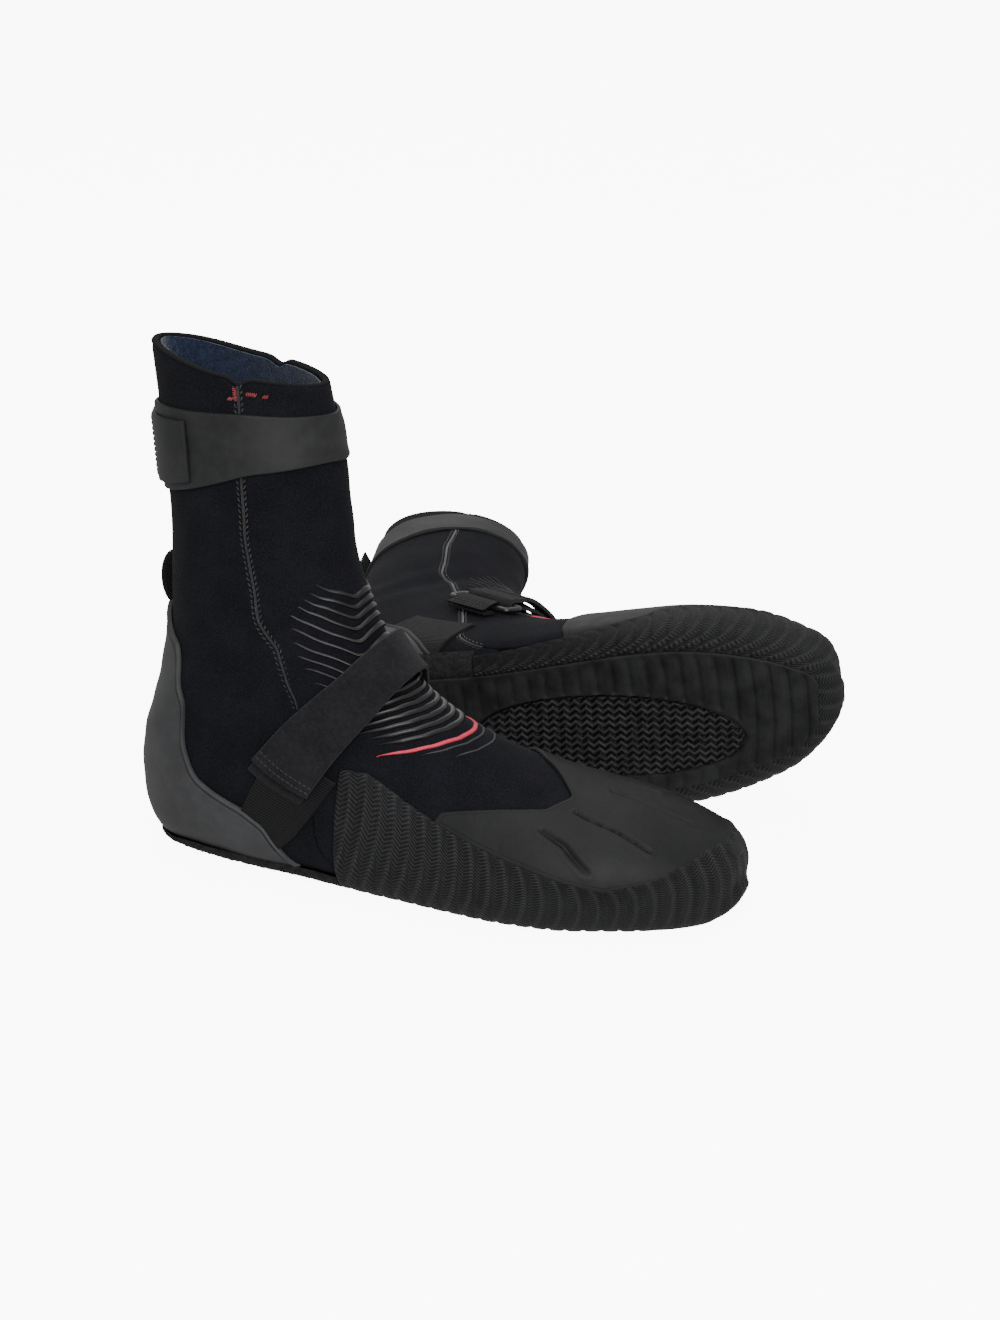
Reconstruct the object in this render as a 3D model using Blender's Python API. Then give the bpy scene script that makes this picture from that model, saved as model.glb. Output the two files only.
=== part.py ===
"""Neoprene boots: a pair of 5 mm surf boots, the right one standing, the left one lying on its outer side.

The boot is one lofted surface.  Sections run from the sole (angle 0) over the outer side (90) and the
instep (180) to the inner side (270).  A section row goes from 0 at the toe to 21 at the cuff.  Every
layer is the same grid pushed out or in along its normals, so layers never touch.
Lengths below are millimetres, scaled to metres when a mesh is made.
"""
import bpy
import math
import numpy as np

# ---- driving dimensions -------------------------------------------------------------------
GAP = 0.3                 # clearance between neighbouring pieces
BOND = 0.6                # clearance under the rubber bonded on the foam
NEOPRENE = 3.7            # foam panel thickness
LINING = 1.0              # pile lining thickness
FOOTBED = 2.4             # footbed thickness
LINING_OUT = -NEOPRENE - BOND
LINING_IN = LINING_OUT - LINING
RUBBER = 2.1              # outer face of the bonded rubber pieces
SOLE_DROP = 5.3           # outer face of the sole under the foot
WEBBING = 1.7             # outer face of the narrow webbing
BASE_IN, BASE_OUT = 2.1, 3.6       # lower run of the instep strap
FLAP_IN, FLAP_OUT = 4.7, 6.7       # upper run of the instep strap
BAND_OUT = 1.9            # outer face of the cuff band
TAB_IN, TAB_OUT = 2.3, 3.9         # loose end of the cuff band
SOLE_EDGE = 7.0           # height where the heel counter starts
ARCH_CUT = 108.0          # where the side rubber of the sole ends towards the heel
TREAD_C, TREAD_R = (176.0, -8.0), (68.0, 22.0)
RING_BAR = 1.6            # radius of the plastic ring's bars
AROUND = 20               # facets round a section
ROWS = 21                 # facets from toe to cuff
LEFT_MIDDLE = np.array([150.0, 0.0, 40.0])     # point of the boot that the lying pose turns about
LEFT_SEAT = np.array([162.0, 131.0, 51.9])     # where that point lies
LEFT_ROLL, LEFT_YAW, LEFT_PITCH = math.radians(-4.7), math.radians(-10.4), math.radians(3.6)
ORIGIN = np.array([100.0, 0.0, 0.0])   # the frame's origin, on the standing sole under the ankle

# sole x, sole z, instep x, instep z, middle y, outer half width, inner half width, height of the
# widest level, squareness below it, squareness above it
STATION = np.array([
    (288, 16, 289, 22, 12, 5, 5, .50, 2.2, 2.2),
    (285, 9, 287.5, 29, 12, 17, 17, .48, 2.3, 2.2),
    (278, 5, 282, 37, 11, 27, 26, .45, 2.6, 2.2),
    (264, 4, 269, 44, 9, 38, 33, .42, 3.0, 2.2),
    (242, 4, 249, 50, 7, 47, 41, .38, 3.4, 2.2),
    (214, 4, 221, 56, 4, 53, 46, .35, 3.8, 2.1),
    (184, 4, 196, 63, 2, 53, 45, .31, 3.8, 2.0),
    (152, 4, 170, 73, 1, 49, 41, .29, 3.6, 2.0),
    (118, 4, 148, 85, 0, 44, 37, .28, 3.4, 2.0),
    (84, 4, 131, 99, 0, 40, 35, .28, 3.2, 2.0),
    (50, 4, 120, 113, 0, 38, 35, .30, 3.0, 2.0),
    (22, 5, 113, 126, 0, 37, 35, .34, 2.7, 2.0),
    (4, 9, 109, 136, 0, 36, 34, .38, 2.5, 2.0),
    (-5, 21, 106, 145, 0, 34, 33, .42, 2.3, 2.0),
    (-8, 38, 104, 152, 0, 32, 31, .45, 2.2, 2.0),
    (-6, 58, 102, 162, 0, 32, 31, .47, 2.1, 2.0),
    (2, 84, 101, 173, 0, 31, 30, .49, 2.0, 2.0),
    (8, 112, 99, 185, 0, 31, 30, .50, 2.0, 2.0),
    (10, 142, 98, 198, 0, 30, 29, .50, 2.0, 2.0),
    (10, 172, 96, 210, 0, 30, 28, .50, 2.0, 2.0),
    (8, 206, 94, 221, 0, 28, 26, .50, 2.0, 2.0),
    (3, 252, 91, 237, 0, 26, 22, .50, 2.0, 2.0)], float)
LAST = len(STATION) - 1

for ob in list(bpy.data.objects):
    bpy.data.objects.remove(ob, do_unlink=True)
boots = bpy.data.collections.new("neoprene_boots")
bpy.context.scene.collection.children.link(boots)


# ---- the lofted surface -------------------------------------------------------------------
def station(r):
    r = np.asarray(r, float)
    i = np.clip(np.floor(r).astype(int), 0, LAST - 1)
    f = np.clip(r - i, 0, 1)[..., None]
    over = (r - i)[..., None] - f
    q = np.vstack([2 * STATION[0] - STATION[1], STATION, 2 * STATION[-1] - STATION[-2]])
    p0, p1, p2, p3 = q[i], q[i + 1], q[i + 2], q[i + 3]
    v = .5 * (2 * p1 + (p2 - p0) * f + (2 * p0 - 5 * p1 + 4 * p2 - p3) * f ** 2
              + (3 * p1 - p0 - 3 * p2 + p3) * f ** 3)
    return v + over * (p2 - p1) * np.array([1, 1, 1, 1, 1, 0, 0, 0, 0, 0])


def surface(r, a):
    """Point of the boot's outer foam face at row r and angle a in degrees."""
    r, a = np.broadcast_arrays(np.asarray(r, float), np.radians(np.asarray(a, float)))
    v = station(r)
    bx, bz, tx, tz, mid, wo, wi, hm, nb, nt = [v[..., k] for k in range(10)]
    c, s = np.cos(a), np.sin(a)
    n = np.where(c > 0, nb, nt)
    cc, ss = np.abs(c) ** (2 / n), np.abs(s) ** (2 / n)
    h = np.where(c > 0, hm * (1 - cc), hm + (1 - hm) * cc)
    y = mid + np.where(s > 0, -wo, wi) * ss
    return np.stack([bx + (tx - bx) * h, y, bz + (tz - bz) * h], -1)


def normal(r, a):
    e, g = .02, 1.0
    r, a = np.broadcast_arrays(np.asarray(r, float), np.asarray(a, float))
    lo, hi = np.maximum(r - e, 0), r + e
    n = np.cross(surface(r, a + g) - surface(r, a - g), surface(hi, a) - surface(lo, a))
    n /= np.maximum(np.linalg.norm(n, axis=-1, keepdims=True), 1e-12)
    out = surface(r, a) - .5 * (surface(r, 0 * a) + surface(r, 0 * a + 180))
    return n * np.where((n * out).sum(-1, keepdims=True) < 0, -1, 1)


def offset(r, a, d):
    return surface(r, a) + normal(r, a) * np.asarray(d, float)[..., None]


# ---- meshes ---------------------------------------------------------------------------------
COLOURS = {
    "rubber": ((.16, .16, .17, 1), .55), "foam": ((.07, .07, .09, 1), .85),
    "lining": ((.08, .14, .30, 1), .95), "webbing": ((.03, .03, .035, 1), .8),
    "band": ((.30, .30, .31, 1), .5), "plastic": ((.015, .015, .017, 1), .4),
    "print": ((.05, .05, .055, 1), .3), "red": ((.65, .05, .12, 1), .6),
    "tape": ((.35, .35, .36, 1), .8), "hook": ((.02, .02, .022, 1), .95)}


def make_object(name, verts, faces, look, origin=None, scale=.001):
    mesh = bpy.data.meshes.new(name)
    o = ORIGIN if origin is None else np.asarray(origin, float)
    mesh.from_pydata([tuple((np.asarray(v, float) - o) * scale) for v in verts], [], [tuple(f) for f in faces])
    mesh.update()
    ob = bpy.data.objects.new(name, mesh)
    ob.location = tuple((o - ORIGIN) * scale)
    boots.objects.link(ob)
    mat = bpy.data.materials.new(name)
    mat.use_nodes = True
    bsdf = mat.node_tree.nodes["Principled BSDF"]
    bsdf.inputs["Base Color"].default_value = COLOURS[look][0]
    bsdf.inputs["Roughness"].default_value = COLOURS[look][1]
    mesh.materials.append(mat)
    return ob


def outward(verts, faces):
    """Flip every face when the closed shell came out inside out."""
    v = np.asarray(verts, float)
    vol = 0.0
    for f in faces:
        for k in range(1, len(f) - 1):
            vol += np.dot(v[f[0]], np.cross(v[f[k]], v[f[k + 1]]))
    return faces if vol > 0 else [tuple(reversed(f)) for f in faces]


def skin(d_in, d_out, r0, r1, name, look, r_in=None):
    """Closed shell between two depths, all the way round, split into triangles on one diagonal."""
    rows = [r for r in np.linspace(0, LAST, ROWS + 1) if r0 - 1e-6 <= r <= r1 + 1e-6]
    rows_in = rows if r_in is None else [r for r in rows if r >= r_in - 1e-6]
    ang = np.arange(AROUND) * 360.0 / AROUND
    toe = r0 <= 0
    verts, faces = [], []

    def sheet(rs, d):
        base = len(verts)
        for r in rs:
            dd = np.array([d(r, a) if callable(d) else d for a in ang])
            p = offset(np.full(AROUND, r), ang, dd)
            p[:, 2] = np.maximum(p[:, 2], 0)
            verts.extend(p.tolist())
        for i in range(len(rs) - 1):
            for j in range(AROUND):
                k = (j + 1) % AROUND
                a, b = base + i * AROUND + j, base + i * AROUND + k
                c, e = a + AROUND, b + AROUND
                faces.append((a, b, e))
                faces.append((a, e, c))
        return base

    def turned(start):
        faces[start:] = [tuple(reversed(f)) for f in faces[start:]]

    outer = sheet(rows, d_out)
    mark = len(faces)
    inner = sheet(rows_in, d_in)
    if toe:
        tip_in = rows_in[0]
        p_out = surface(rows[0], 0) * .5 + surface(rows[0], 180) * .5
        p_in = surface(tip_in, 0) * .5 + surface(tip_in, 180) * .5
        push = d_out(0, 90) if callable(d_out) else d_out
        push_in = d_in(0, 90) if callable(d_in) else d_in
        reach = 1.5 if r_in is None else 3.0
        verts.append([p_out[0] + 1.5 + push, p_out[1], p_out[2]])
        verts.append([p_in[0] + reach + push_in, p_in[1], p_in[2]])
        for j in range(AROUND):
            k = (j + 1) % AROUND
            faces.append((len(verts) - 1, inner + k, inner + j))
    turned(mark)
    if toe:
        for j in range(AROUND):
            k = (j + 1) % AROUND
            faces.append((len(verts) - 2, outer + k, outer + j))
    for j in range(AROUND):
        k = (j + 1) % AROUND
        a, b = outer + (len(rows) - 1) * AROUND + j, outer + (len(rows) - 1) * AROUND + k
        c, e = inner + (len(rows_in) - 1) * AROUND + j, inner + (len(rows_in) - 1) * AROUND + k
        faces.append((a, b, e))
        faces.append((a, e, c))
        if not toe:
            faces.append((outer + k, outer + j, inner + j))
            faces.append((outer + k, inner + j, inner + k))
    return make_object(name, verts, outward(verts, faces), look)


def grid_block(lower, upper, name="cutter"):
    """Closed block between two matching grids of points."""
    m, n = lower.shape[:2]
    verts = np.concatenate([lower.reshape(-1, 3), upper.reshape(-1, 3)]).tolist()
    faces, k = [], m * n
    for i in range(m - 1):
        for j in range(n - 1):
            a, b, c, d = i * n + j, i * n + j + 1, (i + 1) * n + j + 1, (i + 1) * n + j
            faces += [(a, b, c), (a, c, d), (k + a, k + c, k + b), (k + a, k + d, k + c)]
    ring = [j for j in range(n)] + [i * n + n - 1 for i in range(1, m)]
    ring += [(m - 1) * n + j for j in range(n - 2, -1, -1)] + [i * n for i in range(m - 2, 0, -1)]
    for t in range(len(ring)):
        a, b = ring[t], ring[(t + 1) % len(ring)]
        faces += [(a, k + a, b), (b, k + a, k + b)]
    return verts, outward(verts, faces)


def patch(r, a, d0, d1, name="cutter"):
    """Thick block that follows the boot over a grid of rows and angles."""
    r, a = np.asarray(r, float), np.asarray(a, float)
    v, f = grid_block(offset(r, a, np.full(r.shape, d0)), offset(r, a, np.full(r.shape, d1)))
    return make_object(name, v, f, "foam")


def by_row(rows, a_lo, a_hi, d0, d1, m=8, most=1.2):
    """Patch whose two side edges are angles given against the row, sampled at the table's own rows."""
    r = sorted({round(float(x), 4) for x in (*a_lo[0], *a_hi[0], rows[0], rows[-1])
                if rows[0] <= x <= rows[-1]})
    r = np.array([x for a, b in zip(r, r[1:]) for x in
                  np.linspace(a, b, int((b - a) / most) + 2)[:-1]] + [r[-1]])
    lo, hi = np.interp(r, *a_lo), np.interp(r, *a_hi)
    t = np.linspace(0, 1, m)
    return patch(np.repeat(r[:, None], m, 1), lo[:, None] + (hi - lo)[:, None] * t, d0, d1)


def by_angle(angles, r_lo, r_hi, d0, d1, n=14, m=4):
    """Patch whose two ends are rows given against the angle."""
    a = np.linspace(angles[0], angles[-1], n)
    lo, hi = np.interp(a, *r_lo), np.interp(a, *r_hi)
    t = np.linspace(0, 1, m)
    return patch(lo[:, None] + (hi - lo)[:, None] * t, np.repeat(a[:, None], m, 1), d0, d1)


def block(x0, x1, y0, y1, z0, z1):
    """Box with its level faces ruled every 16 mm, so that what it cuts still bends when laid down."""
    x, y = np.meshgrid(np.linspace(x0, x1, int((x1 - x0) / 16) + 2), np.linspace(y0, y1, 7), indexing="ij")
    v, f = grid_block(np.stack([x, y, x * 0 + z0], -1), np.stack([x, y, x * 0 + z1], -1))
    return make_object("cutter", v, f, "foam")


def oval(centre, radii, z0, z1, rings=3, n=22):
    """Upright oval plate with ruled faces."""
    v, f = [], []
    for z in (z0, z1):
        v.append((centre[0], centre[1], z))
        for k in range(1, rings + 1):
            for j in range(n):
                x = 2 * math.pi * j / n
                v.append((centre[0] + radii[0] * k / rings * math.cos(x),
                          centre[1] + radii[1] * k / rings * math.sin(x), z))
    m = 1 + rings * n
    for j in range(n):
        q = (j + 1) % n
        f += [(0, 1 + q, 1 + j), (m, m + 1 + j, m + 1 + q)]
        for k in range(rings - 1):
            a, b = 1 + k * n + j, 1 + k * n + q
            c, d = a + n, b + n
            f += [(a, b, d), (a, d, c), (m + a, m + d, m + b), (m + a, m + c, m + d)]
        a, b = 1 + (rings - 1) * n + j, 1 + (rings - 1) * n + q
        f += [(a, b, m + b), (a, m + b, m + a)]
    return v, outward(v, f)


def cut(ob, tool, operation):
    """One exact Boolean, applied; the tool is thrown away."""
    bpy.context.view_layer.update()
    mod = ob.modifiers.new("cut", "BOOLEAN")
    mod.operation, mod.solver, mod.object = operation, "EXACT", tool
    graph = bpy.context.evaluated_depsgraph_get()
    mesh = bpy.data.meshes.new_from_object(ob.evaluated_get(graph))
    ob.modifiers.clear()
    ob.data = mesh
    bpy.data.objects.remove(tool, do_unlink=True)
    return ob


def keep(ob, tool):
    return cut(ob, tool, "INTERSECT")


def remove(ob, tool):
    return cut(ob, tool, "DIFFERENCE")


# ---- edges of the pieces (row or angle tables) ------------------------------------------------
def both(rows, half):
    """Angle tables either side of the sole line."""
    return (rows, [-h for h in half]), (rows, half)


def crest(rows, half):
    """Angle tables either side of the instep line."""
    return (rows, [180 - h for h in half]), (rows, [180 + h for h in half])


WRAP_OUT = ([1.9, 2.6, 3.4, 4.2, 4.8, 5.5, 6.1, 6.8, 7.9, 8.4, 9.1, 15],
            [165, 129, 108, 99, 104, 111, 115, 118, 122, 123, 122, 118])
WRAP_IN = ([1.9, 2.6, 3.4, 4.2, 4.8, 5.5, 6.2, 6.8, 7.5, 8.3, 15],
           [195, 231, 250, 258, 258, 265, 283, 300, 316, 330, 330])


def shifted(table, d):
    return table[0], [v + d for v in table[1]]


SEAM_ROWS = [7.9, 8.3, 8.8, 9.4, 10.3, 11.1, 12.2, 13.4, 15.8, 17.7, 19.3, 22.5]
SEAM_HALF = [60, 64, 84, 104, 119, 124, 124, 122, 108, 99, 100, 108]
COUNTER_ROWS = [9.0, 9.4, 9.8, 10.4, 11.7, 12.6, 13.4, 14.6, 16.4, 17.1, 17.4]
COUNTER_HALF = [52, 74, 86, 88, 84, 79, 75, 74, 52, 28, 10]
PAD_ROWS, PAD_HALF = [11.0, 11.4, 13.0, 14.3, 14.8], [44, 54, 54, 46, 24]
CHEV_ROWS, CHEV_HALF = [7.35, 7.6, 7.9, 8.5, 9.3], [4, 15, 27, 42, 56]
BAND_A = [-180, -106, 0, 106, 180]
BAND_LO, BAND_HI = [18.2, 19.1, 19.35, 19.1, 18.2], [20.15, 20.4, 20.4, 20.4, 20.15]
STRAP_A = [60, 97, 118, 142, 180, 215, 250]
STRAP_LO = [9.5, 9.4, 9.3, 9.1, 9.0, 8.95, 8.95]
STRAP_HI = [11.1, 11.0, 10.9, 10.55, 10.4, 10.3, 10.3]
RING_ROW, RING_ANGLE = 9.62, 240.0


def sole_depth(r, a):
    a = abs((a + 180) % 360 - 180)
    t = min(max((a - 34) / 40, 0), 1)
    heel = min(max((12.6 - r) / 1.0, 0), 1)
    t = t * t * (3 - 2 * t)
    return RUBBER + (SOLE_DROP - RUBBER) * (1 - t) * heel


# ---- right boot -------------------------------------------------------------------------------
pieces = {}

# bonded sole with the ribbed side rubber and the toe bumper
sole = skin(BOND, sole_depth, 0, 13.6, "sole", "rubber")
remove(sole, by_row([1.9, 14.6], shifted(WRAP_OUT, -.3), shifted(WRAP_IN, .3), -3, 9, 12))
remove(sole, block(-40, ARCH_CUT, -90, 90, SOLE_EDGE, 300))
v, f = oval(TREAD_C, (TREAD_R[0] + GAP, TREAD_R[1] + GAP), -1.5, 1.6)
remove(sole, make_object("cutter", v, f, "foam"))
pieces["sole"] = sole

# moulded tread oval let into the forefoot
v, f = oval(TREAD_C, TREAD_R, 0, 1.25)
pieces["forefoot_tread"] = make_object("forefoot_tread", v, f, "rubber")

# smooth rubber over the toes
cap = skin(BOND, RUBBER, 0, 9.1, "toe_cap", "rubber")
keep(cap, by_row([2.05, 9.0], shifted(WRAP_OUT, .6), shifted(WRAP_IN, -.6), -3, 9, 12))
remove(cap, by_angle([90, 340], ([90, 123, 138, 148, 163, 176, 190, 212, 237, 262, 290, 340],
                                 [7.3, 7.1, 6.2, 5.5, 5.2, 5.6, 6.1, 6.5, 6.9, 7.2, 7.0, 6.9]),
                     ([90, 340], [10.5, 10.5]), -3, 9, 22, 6))
pieces["toe_cap"] = cap

# heel counter
counter = skin(BOND, RUBBER, 7.6, 18.4, "heel_counter", "rubber")
keep(counter, by_row([9.0, 17.4], *both(COUNTER_ROWS, COUNTER_HALF), -3, 9, 9))
remove(counter, block(-60, 200, -90, 90, -20, SOLE_EDGE + 2 * GAP))
pieces["heel_counter"] = counter

# foam panels, split along the side seams
front = skin(-NEOPRENE, 0, 0, LAST, "instep_panel", "foam", r_in=1.3)
remove(front, by_row([8.0, 22.5], *both(SEAM_ROWS, [h + .4 for h in SEAM_HALF]), -9, 5, 12))
pieces["instep_panel"] = front
back = skin(-NEOPRENE, 0, 0, LAST, "quarter_panel", "foam", r_in=1.3)
keep(back, by_row([8.02, 22.5], *both(SEAM_ROWS, [h - .4 for h in SEAM_HALF]), -9, 5, 12))
pieces["quarter_panel"] = back

# plush lining and the footbed in it
pieces["lining"] = skin(LINING_IN, LINING_OUT, 1.3, LAST, "lining", "lining")
bed = skin(LINING_IN - GAP - FOOTBED, LINING_IN - GAP, 1.3, 13.0, "footbed", "foam")
keep(bed, by_row([2.2, 12.3], *both([2.2, 2.8, 4, 6, 8, 10, 11.6, 12.3], [26, 44, 48, 46, 46, 46, 44, 20]),
                 -12, -3, 6))
pieces["footbed"] = bed

# rubber prints over the instep
pad = skin(BOND, 1.5, 9.6, 16.2, "upper_flex_pad", "print")
keep(pad, by_row([11.0, 14.8], *crest(PAD_ROWS, PAD_HALF), -3, 5, 6))
pieces["upper_flex_pad"] = pad
low = skin(BOND, 1.5, 6.2, 10.6, "lower_flex_pad", "print")
keep(low, by_row([7.6, 9.3], *crest([7.6, 7.9, 8.5, 9.3], [5, 16, 32, 46]), -3, 5, 5))
pieces["lower_flex_pad"] = low
trim = skin(BOND, 1.2, 6.2, 10.6, "chevron_trim", "red")
keep(trim, by_row([7.35, 8.95], *crest(CHEV_ROWS, CHEV_HALF), -3, 5, 6))
remove(trim, by_row([7.52, 9.6], *crest([7.52, 7.9, 8.5, 9.3, 9.6], [5, 20, 36, 50, 55]), -4, 6, 6))
pieces["chevron_trim"] = trim

# seam tapes outside the panel joints and the bar tacks on them
for side, name in ((1, "lateral_seam"), (-1, "medial_seam")):
    tape = skin(BOND, 1.0, 11.2, 20.99, name, "tape")
    band_rows = np.array([11.6, 12.2, 13.4, 15.8, 17.7, 18.5, 18.9])
    mid = np.interp(band_rows, SEAM_ROWS, SEAM_HALF)
    wide = np.full(len(mid), 1.9)
    lo, hi = side * mid - wide, side * mid + wide
    keep(tape, by_row([11.6, 18.9], (band_rows, lo), (band_rows, hi), -3, 5, 2, 3))
    pieces[name] = tape
tack = skin(BOND, 1.4, 19.3, LAST, "bar_tack", "red")
keep(tack, by_row([20.62, 20.74], ([20.6, 20.8], [103, 103]), ([20.6, 20.8], [117, 117]), -3, 5, 3))
pieces["bar_tack"] = tack

# cuff band and its loose end
def band_ring(d0, d1):
    """Ring of the band's own height, on the grid angles so it nests on the foam."""
    a = np.arange(AROUND) * 360.0 / AROUND
    aa = (a + 180) % 360 - 180
    lo, hi = np.interp(aa, BAND_A, BAND_LO), np.interp(aa, BAND_A, BAND_HI)
    out = []
    for d in (d0, d1):
        out.append(np.stack([offset(lo + (hi - lo) * t, a, np.full(AROUND, d)) for t in (0, .33, .67, 1)]))
    return out


inner, outer = band_ring(GAP + .35, BAND_OUT + .35)
verts, faces = np.concatenate([inner.reshape(-1, 3), outer.reshape(-1, 3)]).tolist(), []
k4 = 4 * AROUND
for j in range(AROUND):
    q = (j + 1) % AROUND
    for i in range(3):
        a, b, c, d = i * AROUND + j, i * AROUND + q, (i + 1) * AROUND + q, (i + 1) * AROUND + j
        faces += [(a, c, b), (a, d, c), (k4 + a, k4 + b, k4 + c), (k4 + a, k4 + c, k4 + d)]
    faces += [(j, q, k4 + q), (j, k4 + q, k4 + j)]
    a, b = 3 * AROUND + j, 3 * AROUND + q
    faces += [(a, k4 + b, b), (a, k4 + a, k4 + b)]
pieces["cinch_band"] = make_object("cinch_band", verts, outward(verts, faces), "band")


# ---- strips that follow a path ------------------------------------------------------------------
def strip(points, normals, widths, t0, t1, name, look, origin=None):
    """Flat strip: path points, their outward normals and half-width vectors, between two depths."""
    p, n, w = np.asarray(points), np.asarray(normals), np.asarray(widths)
    lower = np.stack([p - w + n * t0, p + w + n * t0], 1)
    upper = np.stack([p - w + n * t1, p + w + n * t1], 1)
    v, f = grid_block(lower, upper)
    return make_object(name, v, f, look, origin)


def tab_shape():
    a0, a1 = 66.0, 14.0
    a = np.linspace(a0, a1, 7)
    lo, hi = np.interp(a, BAND_A, BAND_LO) + .12, np.interp(a, BAND_A, BAND_HI) - .12
    rows = [offset(lo + (hi - lo) * t, a, np.full(len(a), TAB_IN + .35)) for t in (0, 1)]
    low, top = rows
    out = low[-1] - low[-2]
    out = (out + (top[-1] - top[-2])) / 2
    out /= np.linalg.norm(out)
    extra = [low[-1] + out * s for s in (6.0, 15.0)], [top[-1] + out * s for s in (6.0, 15.0)]
    low, top = np.vstack([low, extra[0]]), np.vstack([top, extra[1]])
    mid = (low + top) / 2
    along = np.gradient(mid, axis=0)
    n = np.cross(along, top - low)
    n /= np.linalg.norm(n, axis=1, keepdims=True)
    ref = normal(19.9, 40.0)
    n *= np.sign((n * ref).sum(1))[:, None]
    return low, top, n


low, top, n = tab_shape()
thick = TAB_OUT - TAB_IN
TAB_AXIS = (low[0] + n[0] * (thick + .1), top[0] + n[0] * (thick + .1))
hinge = (TAB_AXIS[0] + TAB_AXIS[1]) / 2
mids = [low + (top - low) * t for t in (0, .5, 1)]
lower = np.stack(mids, 1)
upper = np.stack([m + n * thick for m in mids], 1)
v, f = grid_block(lower, upper)
pieces["cinch_tab"] = make_object("cinch_tab", v, f, "band", hinge)
lo2, hi2 = low + (top - low) * .12, low + (top - low) * .88
hook_lower = np.stack([lo2[7:], hi2[7:]], 1) - n[7:, None] * .9
hook_upper = np.stack([lo2[7:], hi2[7:]], 1) - n[7:, None] * GAP
v, f = grid_block(hook_lower, hook_upper)
pieces["cinch_hook_patch"] = make_object("cinch_hook_patch", v, f, "hook", hinge)

# anchor webbing from the outer edge of the sole up under the strap
web = skin(BOND, WEBBING, 7.0, 12.1, "lateral_webbing", "webbing")
keep(web, by_row([8.9, 10.7], ([8.9, 10.7], [58, 66]), ([8.9, 10.7], [112, 112]), -3, 5, 8))
remove(web, block(-60, 200, -90, 90, -20, SOLE_EDGE + GAP))
remove(web, by_row([8.4, 17.6], *both([8.4, 9.0, 9.4, 9.8, 10.4, 11.7, 17.6], [56, 62, 78, 88, 90, 86, 80]),
                   -3, 5, 7))
remove(web, block(ARCH_CUT - 1, 160, -90, 90, -20, 120))
pieces["lateral_webbing"] = web

# lower run of the strap, over the instep to the ring
run = skin(BASE_IN, BASE_OUT, 7.0, 12.7, "strap_base", "webbing")
keep(run, by_angle([99, 224], (STRAP_A, [v + .12 for v in STRAP_LO]), (STRAP_A, [v - .12 for v in STRAP_HI]),
                   -1, 9, 12, 3))
pieces["strap_base"] = run

# local frame of the ring: t towards the instep, w along the strap's width, n outwards
P0 = surface(RING_ROW, RING_ANGLE)
N0 = normal(RING_ROW, RING_ANGLE)
T0 = surface(RING_ROW, RING_ANGLE - 3) - surface(RING_ROW, RING_ANGLE + 3)
T0 /= np.linalg.norm(T0)
W0 = np.cross(N0, T0)
W0 *= np.sign((W0 * (surface(RING_ROW + .2, RING_ANGLE) - P0)).sum())


def local(t, n, w=0.0):
    return P0 + T0 * t + N0 * n + W0 * w


def ribbon(path, half, thick, name, look, origin=None):
    """Strip bent along a path of (t, n) pairs in the ring's frame; half is the half width at each end."""
    q = np.asarray(path, float)
    d = np.gradient(q, axis=0)
    d /= np.linalg.norm(d, axis=1, keepdims=True)
    nn = np.stack([-d[:, 1], d[:, 0]], 1)
    hw = np.linspace(half[0], half[1], len(q))
    a, b = q - nn * thick / 2, q + nn * thick / 2
    low = np.stack([[local(t, n, -h) for (t, n), h in zip(a, hw)], [local(t, n, h) for (t, n), h in zip(a, hw)]], 1)
    upp = np.stack([[local(t, n, -h) for (t, n), h in zip(b, hw)], [local(t, n, h) for (t, n), h in zip(b, hw)]], 1)
    v, f = grid_block(low, upp)
    return make_object(name, v, f, look, origin)


def arc(ct, cn, rad, a0, a1, n):
    return [(ct + rad * math.cos(math.radians(x)), cn + rad * math.sin(math.radians(x)))
            for x in np.linspace(a0, a1, n)]


RING_T, RING_N = 5.5, 4.6
# inner webbing: up from the sole, round the ring's lower bar, doubled back
around = arc(-RING_T, RING_N, 2.7, -80, 88, 7)
loop = [(-15.0, 2.3), (-11.5, 1.9)] + around + [(-10.0, 6.4), (-13.0, 5.2), (-16.0, 4.3)]
pieces["medial_webbing_loop"] = ribbon(loop, (12.5, 12.5), 1.2, "medial_webbing_loop", "webbing")
web = skin(BOND, WEBBING, 6.2, 12.1, "medial_webbing", "webbing")
keep(web, by_row([8.95, 10.35], ([8.9, 10.4], [264, 264]), ([8.9, 10.4], [318, 303]), -3, 5, 8))
remove(web, block(-60, 200, -90, 90, -20, SOLE_EDGE + GAP))
remove(web, by_row([8.4, 17.6], *both([8.4, 9.0, 9.4, 9.8, 10.4, 11.7, 17.6], [56, 62, 78, 88, 90, 86, 80]),
                   -3, 5, 7))
pieces["medial_webbing"] = web

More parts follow.
